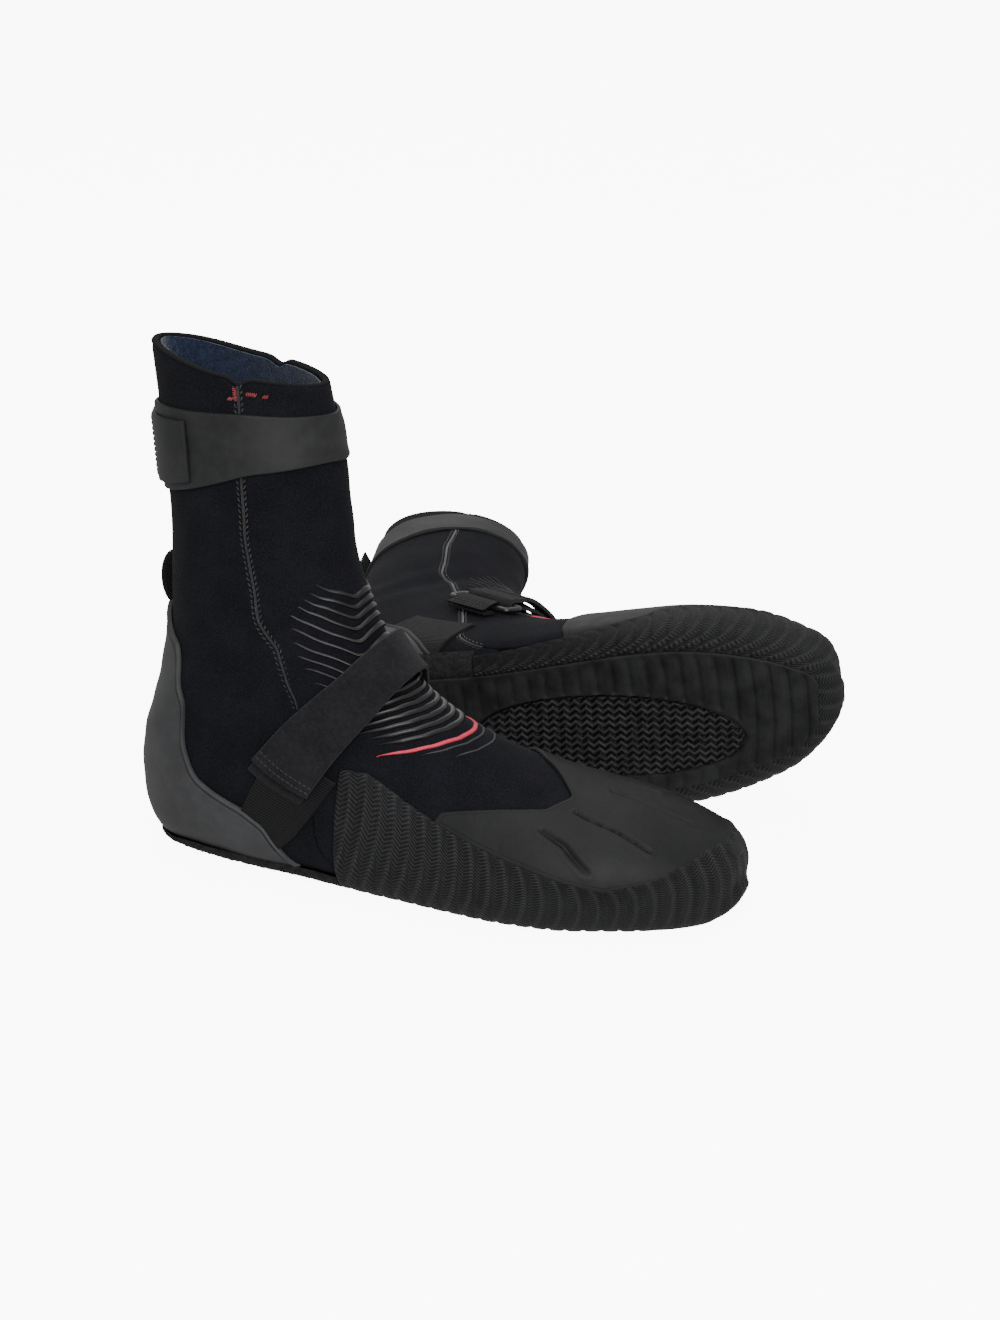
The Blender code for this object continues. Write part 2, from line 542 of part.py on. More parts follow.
# plastic ring
def ring_mesh(half_w, half_t, bar, n_sec=6):
    path = []
    corner = 2.4
    for ct, cw, a0 in ((half_t - corner, half_w - corner, 0), (-half_t + corner, half_w - corner, 90),
                       (-half_t + corner, -half_w + corner, 180), (half_t - corner, -half_w + corner, 270)):
        for x in np.linspace(a0, a0 + 90, 4):
            path.append((ct + corner * math.cos(math.radians(x)), cw + corner * math.sin(math.radians(x))))
    v, f = [], []
    m = len(path)
    for i, (t, w) in enumerate(path):
        (ta, wa), (tb, wb) = path[i - 1], path[(i + 1) % m]
        dt, dw = tb - ta, wb - wa
        s = math.hypot(dt, dw)
        nt, nw = dw / s, -dt / s
        for k in range(n_sec):
            x = 2 * math.pi * (k + .5) / n_sec
            v.append(local(t + nt * bar * math.cos(x), RING_N + bar * math.sin(x), w + nw * bar * math.cos(x)))
    for i in range(m):
        for k in range(n_sec):
            a, b = i * n_sec + k, i * n_sec + (k + 1) % n_sec
            c, d = ((i + 1) % m) * n_sec + (k + 1) % n_sec, ((i + 1) % m) * n_sec + k
            f += [(a, b, c), (a, c, d)]
    return v, outward(v, f)


RING_AXIS = (local(-RING_T, RING_N, -12), local(-RING_T, RING_N, 12))
v, f = ring_mesh(19.5, RING_T, RING_BAR, 6)
pieces["ring"] = make_object("ring", v, f, "plastic", local(-RING_T, RING_N))

# strap folded round the ring's upper bar
fold = [(13.0, 2.6), (9.5, 2.1)] + arc(RING_T, RING_N, 2.9, -100, -268, 8) + [(9.0, 7.3), (12.0, 7.0), (15.5, 6.9)]
pieces["strap_fold"] = ribbon(fold, (15.0, 15.0), 1.6, "strap_fold", "webbing")
FLAP_AXIS = (local(16.2, 9.0, -15), local(16.2, 9.0, 15))

# upper run of the strap: from the fold over the instep to its loose hem on the outer side
hinge = (FLAP_AXIS[0] + FLAP_AXIS[1]) / 2
a = np.linspace(103, 205, 12)
lo, hi = np.interp(a, STRAP_A, STRAP_LO), np.interp(a, STRAP_A, STRAP_HI)
lower = np.stack([offset(lo + (hi - lo) * t, a, np.full(len(a), FLAP_IN + .4)) for t in (0, .5, 1)], 1)
upper = np.stack([offset(lo + (hi - lo) * t, a, np.full(len(a), FLAP_OUT + .4)) for t in (0, .5, 1)], 1)
last_lo = np.stack([local(16.4, 6.1, w) for w in (-15, 0, 15)])[None]
last_up = np.stack([local(16.4, 8.1, w) for w in (-15, 0, 15)])[None]
lower, upper = np.concatenate([lower, last_lo]), np.concatenate([upper, last_up])
v, f = grid_block(lower, upper)
pieces["strap_flap"] = make_object("strap_flap", v, f, "webbing", hinge)
a = np.linspace(106, 135, 5)
lo, hi = np.interp(a, STRAP_A, STRAP_LO) + .2, np.interp(a, STRAP_A, STRAP_HI) - .2
v, f = grid_block(np.stack([offset(lo, a, np.full(5, 3.95)), offset(hi, a, np.full(5, 3.95))], 1),
                  np.stack([offset(lo, a, np.full(5, 4.4)), offset(hi, a, np.full(5, 4.4))], 1))
pieces["strap_hook_patch"] = make_object("strap_hook_patch", v, f, "hook", hinge)

# pull loop sewn at both ends behind the ankle
LOOP_FOOT = np.interp(COUNTER_ROWS[-1], np.arange(len(STATION)), STATION[:, 1]) + 1.0
prof = [(0.9, 0.0), (3.2, 1.5), (4.8, 6.0), (5.2, 11.5), (4.8, 17.0), (3.2, 21.5), (0.9, 23.0)]
pp = []
for d, up in prof:
    r = np.interp(LOOP_FOOT + up, STATION[15:20, 1], np.arange(15, 20))
    pp.append(surface(r, 0) + np.array([-1, 0, 0]) * d)
pp = np.array(pp)
g = np.gradient(pp, axis=0)
g /= np.linalg.norm(g, axis=1, keepdims=True)
nn = np.stack([-g[:, 2], 0 * g[:, 0], g[:, 0]], 1)
w = np.tile([0, 6.5, 0], (len(pp), 1))
pieces["pull_loop"] = strip(pp, nn, w, -.55, .55, "pull_loop", "webbing")


# ---- left boot: the same meshes mirrored and laid on the outer side ----------------------------
def turned(a, b, angle):
    return a * math.cos(angle) - b * math.sin(angle), a * math.sin(angle) + b * math.cos(angle)


def lay_down(p):
    p = np.asarray(p, float) - LEFT_MIDDLE
    x, up, away = p[..., 0], p[..., 1], p[..., 2]
    up, away = turned(up, away, LEFT_ROLL)
    away, x = turned(away, x, LEFT_YAW)
    x, up = turned(x, up, LEFT_PITCH)
    return LEFT_SEAT + np.stack([x, away, up], -1)


def triangles(mesh):
    mesh.calc_loop_triangles()
    return [tuple(t.vertices) for t in mesh.loop_triangles]


for name, ob in list(pieces.items()):
    seat = np.array(ob.location[:]) * 1e3 + ORIGIN
    points = np.array([v.co[:] for v in ob.data.vertices]) * 1e3 + seat
    tris = triangles(ob.data)
    ob.name = ob.data.name = ob.data.materials[0].name = "right_" + name
    seen = ob.data.materials[0].node_tree.nodes["Principled BSDF"].inputs
    moves = name in ("strap_flap", "strap_hook_patch", "cinch_tab", "cinch_hook_patch", "ring")
    twin = make_object("left_" + name, lay_down(points), [tuple(reversed(t)) for t in tris], "foam",
                       lay_down(seat) if moves else None)
    other = twin.data.materials[0].node_tree.nodes["Principled BSDF"].inputs
    other["Base Color"].default_value = tuple(seen["Base Color"].default_value)
    other["Roughness"].default_value = seen["Roughness"].default_value
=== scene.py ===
"""Neoprene boots: a pair of 5 mm water boots, the right one standing, the left one lying on its side."""
import math
import bpy
import numpy as np
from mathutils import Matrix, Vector
from mathutils.bvhtree import BVHTree


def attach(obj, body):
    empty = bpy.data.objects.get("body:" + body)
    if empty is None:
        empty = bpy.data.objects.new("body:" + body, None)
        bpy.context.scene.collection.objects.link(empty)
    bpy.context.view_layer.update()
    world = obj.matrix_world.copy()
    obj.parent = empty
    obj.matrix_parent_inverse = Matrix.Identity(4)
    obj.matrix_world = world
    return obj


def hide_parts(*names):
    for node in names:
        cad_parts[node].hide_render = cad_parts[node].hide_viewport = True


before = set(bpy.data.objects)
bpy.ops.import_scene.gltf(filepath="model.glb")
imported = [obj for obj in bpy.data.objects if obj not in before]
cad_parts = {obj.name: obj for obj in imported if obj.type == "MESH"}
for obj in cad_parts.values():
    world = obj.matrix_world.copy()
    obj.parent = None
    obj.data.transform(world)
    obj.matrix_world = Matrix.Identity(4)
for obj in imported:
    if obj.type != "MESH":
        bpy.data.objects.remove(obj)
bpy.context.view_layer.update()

# ---- foam panels -------------------------------------------------------------
# The body of the boot is 3.7 mm closed-cell foam faced with black knit, cut as a front panel with the
# vamp and a back panel round the ankle, glued and blind-stitched edge to edge down both sides.
STATION = np.array([
    (288, 16, 289, 22, 12, 5, 5, .50, 2.2, 2.2), (285, 9, 287.5, 29, 12, 17, 17, .48, 2.3, 2.2),
    (278, 5, 282, 37, 11, 27, 26, .45, 2.6, 2.2), (264, 4, 269, 44, 9, 38, 33, .42, 3.0, 2.2),
    (242, 4, 249, 50, 7, 47, 41, .38, 3.4, 2.2), (214, 4, 221, 56, 4, 53, 46, .35, 3.8, 2.1),
    (184, 4, 196, 63, 2, 53, 45, .31, 3.8, 2.0), (152, 4, 170, 73, 1, 49, 41, .29, 3.6, 2.0),
    (118, 4, 148, 85, 0, 44, 37, .28, 3.4, 2.0), (84, 4, 131, 99, 0, 40, 35, .28, 3.2, 2.0),
    (50, 4, 120, 113, 0, 38, 35, .30, 3.0, 2.0), (22, 5, 113, 126, 0, 37, 35, .34, 2.7, 2.0),
    (4, 9, 109, 136, 0, 36, 34, .38, 2.5, 2.0), (-5, 21, 106, 145, 0, 34, 33, .42, 2.3, 2.0),
    (-8, 38, 104, 152, 0, 32, 31, .45, 2.2, 2.0), (-6, 58, 102, 162, 0, 32, 31, .47, 2.1, 2.0),
    (2, 84, 101, 173, 0, 31, 30, .49, 2.0, 2.0), (8, 112, 99, 185, 0, 31, 30, .50, 2.0, 2.0),
    (10, 142, 98, 198, 0, 30, 29, .50, 2.0, 2.0), (10, 172, 96, 210, 0, 30, 28, .50, 2.0, 2.0),
    (8, 206, 94, 221, 0, 28, 26, .50, 2.0, 2.0), (3, 252, 91, 237, 0, 26, 22, .50, 2.0, 2.0)], float)
LAST = len(STATION) - 1
ORIGIN = np.array([100.0, 0.0, 0.0])
FOAM = 3.7


def curve(p0, p1, p2, p3, f):
    """Smooth curve from p1 to p2 read at the share f, with p0 and p3 beyond them."""
    return .5 * (2 * p1 + (p2 - p0) * f + (2 * p0 - 5 * p1 + 4 * p2 - p3) * f ** 2
                 + (3 * p1 - p0 - 3 * p2 + p3) * f ** 3)


def station(r):
    """Section sizes at row r, smooth between the sections of the table."""
    i = np.clip(np.floor(r).astype(int), 0, LAST - 1)
    f = np.clip(r - i, 0, 1)[..., None]
    q = np.vstack([2 * STATION[0] - STATION[1], STATION, 2 * STATION[-1] - STATION[-2]])
    return curve(q[i], q[i + 1], q[i + 2], q[i + 3], f)


def surface(r, a):
    """Outer foam face at row r (0 toe, 21 cuff) and angle a (0 sole and heel, 90 outer side, 180 instep)."""
    r, a = np.broadcast_arrays(np.asarray(r, float), np.radians(np.asarray(a, float)))
    bx, bz, tx, tz, mid, wo, wi, hm, nb, nt = np.moveaxis(station(r), -1, 0)
    c, s = np.cos(a), np.sin(a)
    n = np.where(c > 0, nb, nt)
    cc, ss = np.abs(c) ** (2 / n), np.abs(s) ** (2 / n)
    h = np.where(c > 0, hm * (1 - cc), hm + (1 - hm) * cc)
    return np.stack([bx + (tx - bx) * h, mid + np.where(s > 0, -wo, wi) * ss, bz + (tz - bz) * h], -1)


def normal(r, a):
    """Direction out of the foam at row r and angle a."""
    r, a = np.broadcast_arrays(np.asarray(r, float), np.asarray(a, float))
    lo, hi = np.maximum(r - .04, 0), np.minimum(r + .04, LAST)
    n = np.cross(surface(r, a + 1.5) - surface(r, a - 1.5), surface(hi, a) - surface(lo, a))
    n /= np.maximum(np.linalg.norm(n, axis=-1, keepdims=True), 1e-12)
    out = surface(r, a) - .5 * (surface(r, 0 * a) + surface(r, 0 * a + 180))
    return n * np.where((n * out).sum(-1, keepdims=True) < 0, -1, 1)


LEFT_MIDDLE, LEFT_SEAT = (150.0, 40.0), (162.0, 131.0, 51.9)
LEFT_ROLL, LEFT_YAW, LEFT_PITCH = -4.7, -10.4, 3.6


def turned(a, b, degrees):
    """A pair of coordinates turned in their plane."""
    c, s = math.cos(math.radians(degrees)), math.sin(math.radians(degrees))
    return a * c - b * s, a * s + b * c


def lay_down(p):
    """The left boot is the right one mirrored and laid on its outer side."""
    up, away = turned(p[..., 1], p[..., 2] - LEFT_MIDDLE[1], LEFT_ROLL)
    away, x = turned(away, p[..., 0] - LEFT_MIDDLE[0], LEFT_YAW)
    x, up = turned(x, up, LEFT_PITCH)
    return np.stack([LEFT_SEAT[0] + x, LEFT_SEAT[1] + away, LEFT_SEAT[2] + up], -1)


def place(p, side):
    """The right boot's millimetres as metres in the shared frame, for either boot."""
    return ((lay_down(p) if side == "left" else p) - ORIGIN) / 1000


def smooth(t):
    """Eases from 0 to 1 as t does."""
    t = np.clip(t, 0, 1)
    return t * t * (3 - 2 * t)


def crowded(n, pull=.8):
    """n shares from 0 to 1 that crowd towards both ends, where an edge is rounded."""
    t = np.linspace(0, 1, n)
    return t - pull * np.sin(2 * np.pi * t) / (2 * np.pi)


def running(p):
    """Running length along a line of points."""
    return np.concatenate([[0], np.cumsum(np.linalg.norm(np.diff(p, axis=0), axis=1))])


def lengths(p):
    """Running lengths across and along a grid of points, from its middle column and first row."""
    du = np.linalg.norm(np.diff(p, axis=1), axis=2)
    u = np.concatenate([np.zeros((len(p), 1)), np.cumsum(du, 1)], 1)
    mid = p.shape[1] // 2
    v = running(p[:, mid])[:, None] + 0 * u
    return u, v, u - u[:, mid:mid + 1]


def thick(p, n, top, under, rim=1.4, ring=False, edge=.3):
    """Closed sheet over a grid of points: top and under are heights along n, the rim is rounded off."""
    u, v, uu = lengths(p)
    e = np.minimum(v - v[:1], v[-1:] - v)
    if not ring:
        e = np.minimum(e, np.minimum(u, u[:, -1:] - u))
    k = np.sqrt(np.maximum(1 - (1 - np.clip(e / rim, 0, 1)) ** 2, 0))
    top, under = top + 0 * u, under + 0 * u
    h = under + (top - under) * (edge + (1 - edge) * k)
    a, b = p + n * h[..., None], p + n * under[..., None]
    rows, cols = u.shape
    verts = np.concatenate([a.reshape(-1, 3), b.reshape(-1, 3)])
    uv = np.concatenate([np.stack([uu, v, e], -1).reshape(-1, 3)] * 2)
    g = np.arange(rows * cols).reshape(rows, cols)
    quads = np.stack([g[:-1, :-1], g[:-1, 1:], g[1:, 1:], g[1:, :-1]], -1).reshape(-1, 4)
    loop = [*g[0, :-1], *g[:-1, -1], *g[-1, :0:-1], *g[:0:-1, 0]]
    m = rows * cols
    if ring:
        walls = [(x, x + m, y + m, y) for x, y in zip(g[0, :-1], g[0, 1:])]
        walls += [(y, y + m, x + m, x) for x, y in zip(g[-1, :-1], g[-1, 1:])]
    else:
        walls = [(x, x + m, y + m, y) for x, y in zip(loop, loop[1:] + loop[:1])]
    return verts, np.concatenate([quads, quads[:, ::-1] + m, np.array(walls)]), uv


def laid(r, a, top, under, rim=1.4, ring=False, edge=.3):
    """Closed sheet on the boot at rows r and angles a, from height under to height top above the foam."""
    return thick(surface(r, a), normal(r, a), top, under, rim, ring, edge)


def joined(*parts):
    """Several (verts, faces, uv) sets as one."""
    verts, faces, uv, base = [], [], [], 0
    for v, f, t in parts:
        verts.append(v)
        uv.append(t)
        faces += [tuple(int(x) + base for x in q) for q in f]
        base += len(v)
    return np.concatenate(verts), faces, np.concatenate(uv)


def fit(name, shape, finish, body="boots", stands_for=()):
    """Makes one piece for each boot from a shape in the right boot's millimetres, and seats it."""
    for side in ("right", "left"):
        v, f, t = shape
        faces = [tuple(int(x) for x in (q if side == "right" else reversed(q))) for q in f]
        mesh = bpy.data.meshes.new(f"{side}_{name}")
        mesh.from_pydata(place(v, side).tolist(), [], faces)
        layer = mesh.uv_layers.new(name="surface_mm")
        index = np.empty(len(mesh.loops), int)
        mesh.loops.foreach_get("vertex_index", index)
        layer.data.foreach_set("uv", (t[index, :2] / 1000).ravel())
        mesh.attributes.new("edge_mm", "FLOAT", "POINT").data.foreach_set("value", t[:, 2])
        ob = bpy.data.objects.new(f"{side}_{name}_shown", mesh)
        bpy.context.scene.collection.objects.link(ob)
        bpy.ops.object.select_all(action="DESELECT")
        ob.select_set(True)
        bpy.context.view_layer.objects.active = ob
        bpy.ops.object.mode_set(mode="EDIT")
        bpy.ops.mesh.select_all(action="SELECT")
        bpy.ops.mesh.remove_doubles(threshold=2e-6)
        bpy.ops.mesh.normals_make_consistent(inside=False)
        bpy.ops.object.mode_set(mode="OBJECT")
        bpy.ops.object.shade_smooth_by_angle(angle=math.radians(50))
        mesh.materials.append(finish)
        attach(ob, body if body == "boots" else f"{side}_{body}")
        if stands_for:
            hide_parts(*[f"{side}_{s}" for s in stands_for])


class Reading:
    """A number or colour that varies over a piece; arithmetic on it adds Math nodes."""

    def __init__(self, finish, socket):
        self.finish, self.socket = finish, socket

    def _do(self, operation, *others, first=None):
        values = (self, *others) if first is None else (first, self)
        return self.finish.node("ShaderNodeMath", {"operation": operation}, *values)

    def __add__(self, o):
        return self._do("ADD", o)
    def __radd__(self, o):
        return self._do("ADD", first=o)
    def __sub__(self, o):
        return self._do("SUBTRACT", o)
    def __rsub__(self, o):
        return self._do("SUBTRACT", first=o)
    def __mul__(self, o):
        return self._do("MULTIPLY", o)
    def __rmul__(self, o):
        return self._do("MULTIPLY", first=o)
    def __truediv__(self, o):
        return self._do("DIVIDE", o)
    def __abs__(self):
        return self._do("ABSOLUTE")
    def __pow__(self, o):
        return self._do("POWER", o)
    def sine(self):
        return self._do("SINE")
    def least(self, o):
        return self._do("MINIMUM", o)
    def zigzag(self, pitch):
        return self._do("PINGPONG", pitch)

    def step(self, low, high):
        """0 below low, 1 above high, smooth between."""
        return self.finish.node("ShaderNodeMapRange", {"interpolation_type": "SMOOTHSTEP"},
                                self, low, high, 0.0, 1.0)


class Finish:
    """One material; its maths is written as expressions on readings."""

    def __init__(self, name, **constants):
        self.material = bpy.data.materials.new(name)
        self.material.use_nodes = True
        self.tree = self.material.node_tree
        self.shader = self.tree.nodes["Principled BSDF"]
        for key, value in constants.items():
            self.shader.inputs[key.replace("_", " ")].default_value = value

    def node(self, kind, settings, *values, out=0, **named):
        n = self.tree.nodes.new(kind)
        for key, value in settings.items():
            setattr(n, key, value)
        slots = [(n.inputs[i], v) for i, v in enumerate(values)]
        slots += [(n.inputs[k.replace("_", " ")], v) for k, v in named.items()]
        for socket, value in slots:
            if isinstance(value, Reading):
                self.tree.links.new(value.socket, socket)
            elif value is not None:
                socket.default_value = value
        return Reading(self, n.outputs[out])

    def spot(self):
        """Place on the piece, in millimetres."""
        here = self.node("ShaderNodeTexCoord", {}, out=3)
        return self.node("ShaderNodeVectorMath", {"operation": "SCALE"}, here, Scale=1000.0)

    def along(self):
        """Millimetres across and along the piece's own cloth."""
        uv = self.node("ShaderNodeUVMap", {"uv_map": "surface_mm"})
        mm = self.node("ShaderNodeVectorMath", {"operation": "SCALE"}, uv, Scale=1000.0)
        split = self.tree.nodes.new("ShaderNodeSeparateXYZ")
        self.tree.links.new(mm.socket, split.inputs[0])
        return Reading(self, split.outputs[0]), Reading(self, split.outputs[1])

    def from_edge(self):
        """Millimetres in from the piece's nearest edge."""
        return self.node("ShaderNodeAttribute", {"attribute_name": "edge_mm"}, out=2)

    def noise(self, where, size, detail=2.0, rough=.5):
        """Cloudy 0 to 1 variation with blobs about size millimetres across."""
        return self.node("ShaderNodeTexNoise", {}, Vector=where, Scale=1.0 / size, Detail=detail,
                         Roughness=rough)

    def clouds(self, *sizes):
        """One noise for each size, detail and roughness, all read at the place on the piece."""
        where = self.spot()
        return [self.noise(where, *each) for each in sizes]

    def blend(self, share, low, high):
        """Colour from low to high by the share."""
        n = self.tree.nodes.new("ShaderNodeMix")
        n.data_type = "RGBA"
        for k, value in ((0, share), (6, low), (7, high)):
            if isinstance(value, Reading):
                self.tree.links.new(value.socket, n.inputs[k])
            else:
                n.inputs[k].default_value = value if k == 0 else (*value, 1)
        return Reading(self, n.outputs[2])

    def wear(self, colour, roughness, height=None, depth=.2):
        """Puts colour, roughness and a relief of the given depth in millimetres on the shader."""
        if isinstance(colour, Reading):
            self.tree.links.new(colour.socket, self.shader.inputs["Base Color"])
        else:
            self.shader.inputs["Base Color"].default_value = (*colour, 1)
        if isinstance(roughness, Reading):
            self.tree.links.new(roughness.socket, self.shader.inputs["Roughness"])
        else:
            self.shader.inputs["Roughness"].default_value = roughness
        if height is not None:
            bump = self.node("ShaderNodeBump", {}, Strength=1.0, Distance=depth / 1000, Height=height)
            self.tree.links.new(bump.socket, self.shader.inputs["Normal"])
        return self.material


knit = Finish("black_knit", Sheen_Weight=.02, Sheen_Roughness=.45, Specular_IOR_Level=.05)
fuzz, cloud, fold = knit.clouds((.55, 3.0, .7), (16.0, 3.0), (3.2, 2.0))
shade = (fuzz * .8 + cloud * .2).step(.36, .66)
KNIT = knit.wear(knit.blend(shade, (.0042, .0042, .0056), (.0125, .0126, .0165)), .82 + fuzz * .12,
                 fuzz * .8 + fold * .15 + cloud * .12, .3)

SEAM_ROWS = [7.9, 8.3, 8.8, 9.4, 10.3, 11.1, 12.2, 13.4, 15.8, 17.7, 19.3, 22.5]
SEAM_HALF = [60, 64, 84, 104, 119, 124, 124, 122, 108, 99, 100, 108]


def cuff_row(a):
    """The cut edge of the cuff dips in a small notch at each side seam."""
    half = np.abs((np.asarray(a, float) + 180) % 360 - 180)
    notch, dip = np.exp(-((half - 104.5) / 5.0) ** 2), np.exp(-((half - 88) / 26.0) ** 2)
    return LAST - .012 - .10 * notch - .05 * dip


def panel(r0, lo, hi, rows, cols):
    """Grid between two seam lines, from row r0 up to the cut edge of the cuff."""
    s, t = crowded(rows, .35)[:, None], crowded(cols, .6)[None, :]
    r = r0 + (LAST - r0) * s + 0 * t
    for _ in range(3):
        low, high = lo(r), hi(r)
        a = low + (high - low) * t
        r = r0 + (cuff_row(a) - r0) * s
    return r, a


def eased(values, reach, ends="edge"):
    """A list smoothed over reach places to either side."""
    kernel = np.hanning(2 * reach + 1)
    return np.convolve(np.pad(values, reach, ends), kernel / kernel.sum(), "valid")


FINE_ROWS = np.linspace(7.5, 22.5, 601)
SEAM_FAIR = eased(np.interp(FINE_ROWS, SEAM_ROWS, SEAM_HALF), 20)


def seam(r):
    """Angle of the side seam at row r."""
    return np.interp(r, FINE_ROWS, SEAM_FAIR)


def puffed(r, a):
    """Slight unevenness of the foam, the same at every point of both panels."""
    p = surface(r, a)
    x, y, z = p[..., 0] / 26, p[..., 1] / 26, p[..., 2] / 26
    w = (np.sin(x * 2.1 + 1.3 * np.sin(z * 1.7)) + np.sin(z * 2.6 + 1.1 * np.sin(y * 2.3 + 1))
         + np.sin(y * 2.9 + x * 1.3))
    return .22 * w


SEAM_GAP = .25
for name, (r, a) in {
        "instep_panel": panel(4.6, lambda r: seam(r) + SEAM_GAP, lambda r: 360 - seam(r) - SEAM_GAP, 130, 96),
        "quarter_panel": panel(8.0, lambda r: -seam(r) + SEAM_GAP, lambda r: seam(r) - SEAM_GAP, 100, 96),
}.items():
    calm = smooth((r - 9) / 2)
    fit(name, laid(r, a, calm * puffed(r, a), -FOAM, 1.3, edge=.80), KNIT, stands_for=[name])

# ---- cut edge of the cuff ----------------------------------------------------
# Where the foam is cut through at the cuff its raw grey cells show between the black knit outside
# and the blue pile inside.


def unit(v):
    """Directions of a set of vectors, one millimetre long."""
    return v / np.linalg.norm(v, axis=-1, keepdims=True)


raw = Finish("cut_foam", Specular_IOR_Level=.08)
cells = raw.noise(raw.spot(), .5, 2.0)
RAW = raw.wear(raw.blend(cells, (.0045, .0047, .0052), (.014, .0143, .0152)), .9, cells, .2)
a = np.tile(np.linspace(0, 360, 241), (7, 1))
r = cuff_row(a)
up = unit(surface(r, a) - surface(r - .05, a))
depth = (-.25 - (FOAM - .1) * np.linspace(0, 1, 7))[:, None, None]
fit("cuff_edge", thick(surface(r, a) + normal(r, a) * depth, up, .55, -.5, .9, True), RAW)

# ---- lining and footbed ------------------------------------------------------
# The foam is faced inside with a navy blue looped pile that holds warmth. A flat foam footbed lies
# on it under the foot.
pile = Finish("navy_pile", Sheen_Weight=.25, Sheen_Roughness=.5, Specular_IOR_Level=.15)
loops, tuft = pile.clouds((.9, 3.0, .7), (3.0, 2.0))
navy = pile.blend((loops * .7 + tuft * .3).step(.35, .65), (.0035, .0065, .017), (.016, .028, .066))
PILE = pile.wear(navy, .95, loops + tuft * .6, .8)
LINING_FACE, LINING_BACK = -5.2, -4.4
t, s = np.meshgrid(np.linspace(0, 360, 121), np.linspace(0, 1, 90))
a, r = t, 2.0 + (cuff_row(t) - .02 - 2.0) * s
rng = np.random.default_rng(3)
nap = rng.normal(0, .12, r.shape)
nap[:, -1] = nap[:, 0]
fit("lining", laid(r, a, nap + LINING_BACK, LINING_FACE + nap, .5, True, .8), PILE,
    stands_for=["lining"])


def refinish(names, finish):
    """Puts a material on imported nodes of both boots."""
    for side in ("right", "left"):
        for name in names:
            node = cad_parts[f"{side}_{name}"]
            node.data.materials.clear()
            node.data.materials.append(finish)


refinish(["footbed"], PILE)

# ---- moulded sole with ribbed side rubber ------------------------------------
# A single black rubber moulding is bonded under the foot and wraps high up both sides of the forefoot
# and over the toe tip. Its sides carry upright ribs with a fine herringbone, its underside cross ribs.
RUBBER = 2.1
ARCH = 108.0


def sole_depth(r, a):
    """Thickness of the moulding, greater under the heel and arch."""
    a = np.abs((a + 180) % 360 - 180)
    t, heel = np.clip((a - 34) / 40, 0, 1), np.clip(12.6 - r, 0, 1)
    return RUBBER + 3.2 * (1 - t * t * (3 - 2 * t)) * heel


a, r = np.meshgrid(np.linspace(0, 360, 181)[:-1], np.linspace(0, 15, 181))
p = surface(r, a) + normal(r, a) * sole_depth(r, a)[..., None]
p[..., 2] = np.maximum(p[..., 2], 0)
g = np.arange(r.size).reshape(r.shape)
h = np.roll(g, -1, 1)
tip = len(p.reshape(-1, 3))
shell = [tuple(q) for q in np.stack([g[:-1], h[:-1], h[1:], g[1:]], -1).reshape(-1, 4).tolist()]
shell += [(tip, int(x), int(y)) for x, y in zip(g[0], h[0])]
body_tree = BVHTree.FromPolygons([*map(tuple, p.reshape(-1, 3).tolist()), (291.5, 12.0, 19.0)], shell)

rows = np.linspace(13.4, 0, 200)
outer, inner = surface(rows, 90 + 0 * rows), surface(rows[::-1], 270 + 0 * rows)
line = np.concatenate([outer[:, :2], [[289.5, 12.0]], inner[:, :2]])
back = surface(13.4, np.linspace(270, 450, 60))[1:-1, :2]
line = np.concatenate([line, back, line[:1]])


def evenly(p, step):
    """The line of points read again at even steps, and the length run at each."""
    d = running(p)
    s = np.linspace(0, d[-1], int(d[-1] / step) + 1)
    return np.stack([np.interp(s, d, p[:, k]) for k in range(p.shape[1])], 1), s


line, run = evenly(line, .6)
kernel = np.hanning(25) / np.hanning(25).sum()
wrapped = np.concatenate([line[-13:-1], line, line[1:13]])
line = np.stack([np.convolve(wrapped[:, k], kernel, "valid") for k in (0, 1)], 1)
line[-1] = line[0]
side_dir = np.gradient(np.concatenate([line[-3:-1], line, line[1:3]]), axis=0)[2:-2]
side_dir = unit(np.stack([side_dir[:, 1], -side_dir[:, 0]], 1))
side_dir *= np.sign((side_dir * (line - line.mean(0))).sum(1).mean())


def wall(k, z):
    """Point and normal on the rubber's outer face at outline index k and height z."""
    x, y = line[k] + side_dir[k] * 40
    inwards = Vector((-side_dir[k][0], -side_dir[k][1], 0))
    hit, nrm, _, _ = body_tree.ray_cast(Vector((x, y, z)), inwards, 90)
    if hit is None:
        hit, nrm, _, _ = body_tree.find_nearest(Vector((*line[k], z)))
    nrm = np.array(nrm)
    return np.array(hit), nrm * (1 if nrm[:2] @ side_dir[k] > -1e-9 else -1)


def edge_heights(table):
    """Height of the side rubber's top edge against the outline, from its row and angle table."""
    rr = np.linspace(table[0][0], 9.6, 260)
    q = surface(rr, np.interp(rr, *table))
    idx = [int(np.argmin(((line - x[:2]) ** 2).sum(1))) for x in q]
    return np.array(idx), q[:, 2]


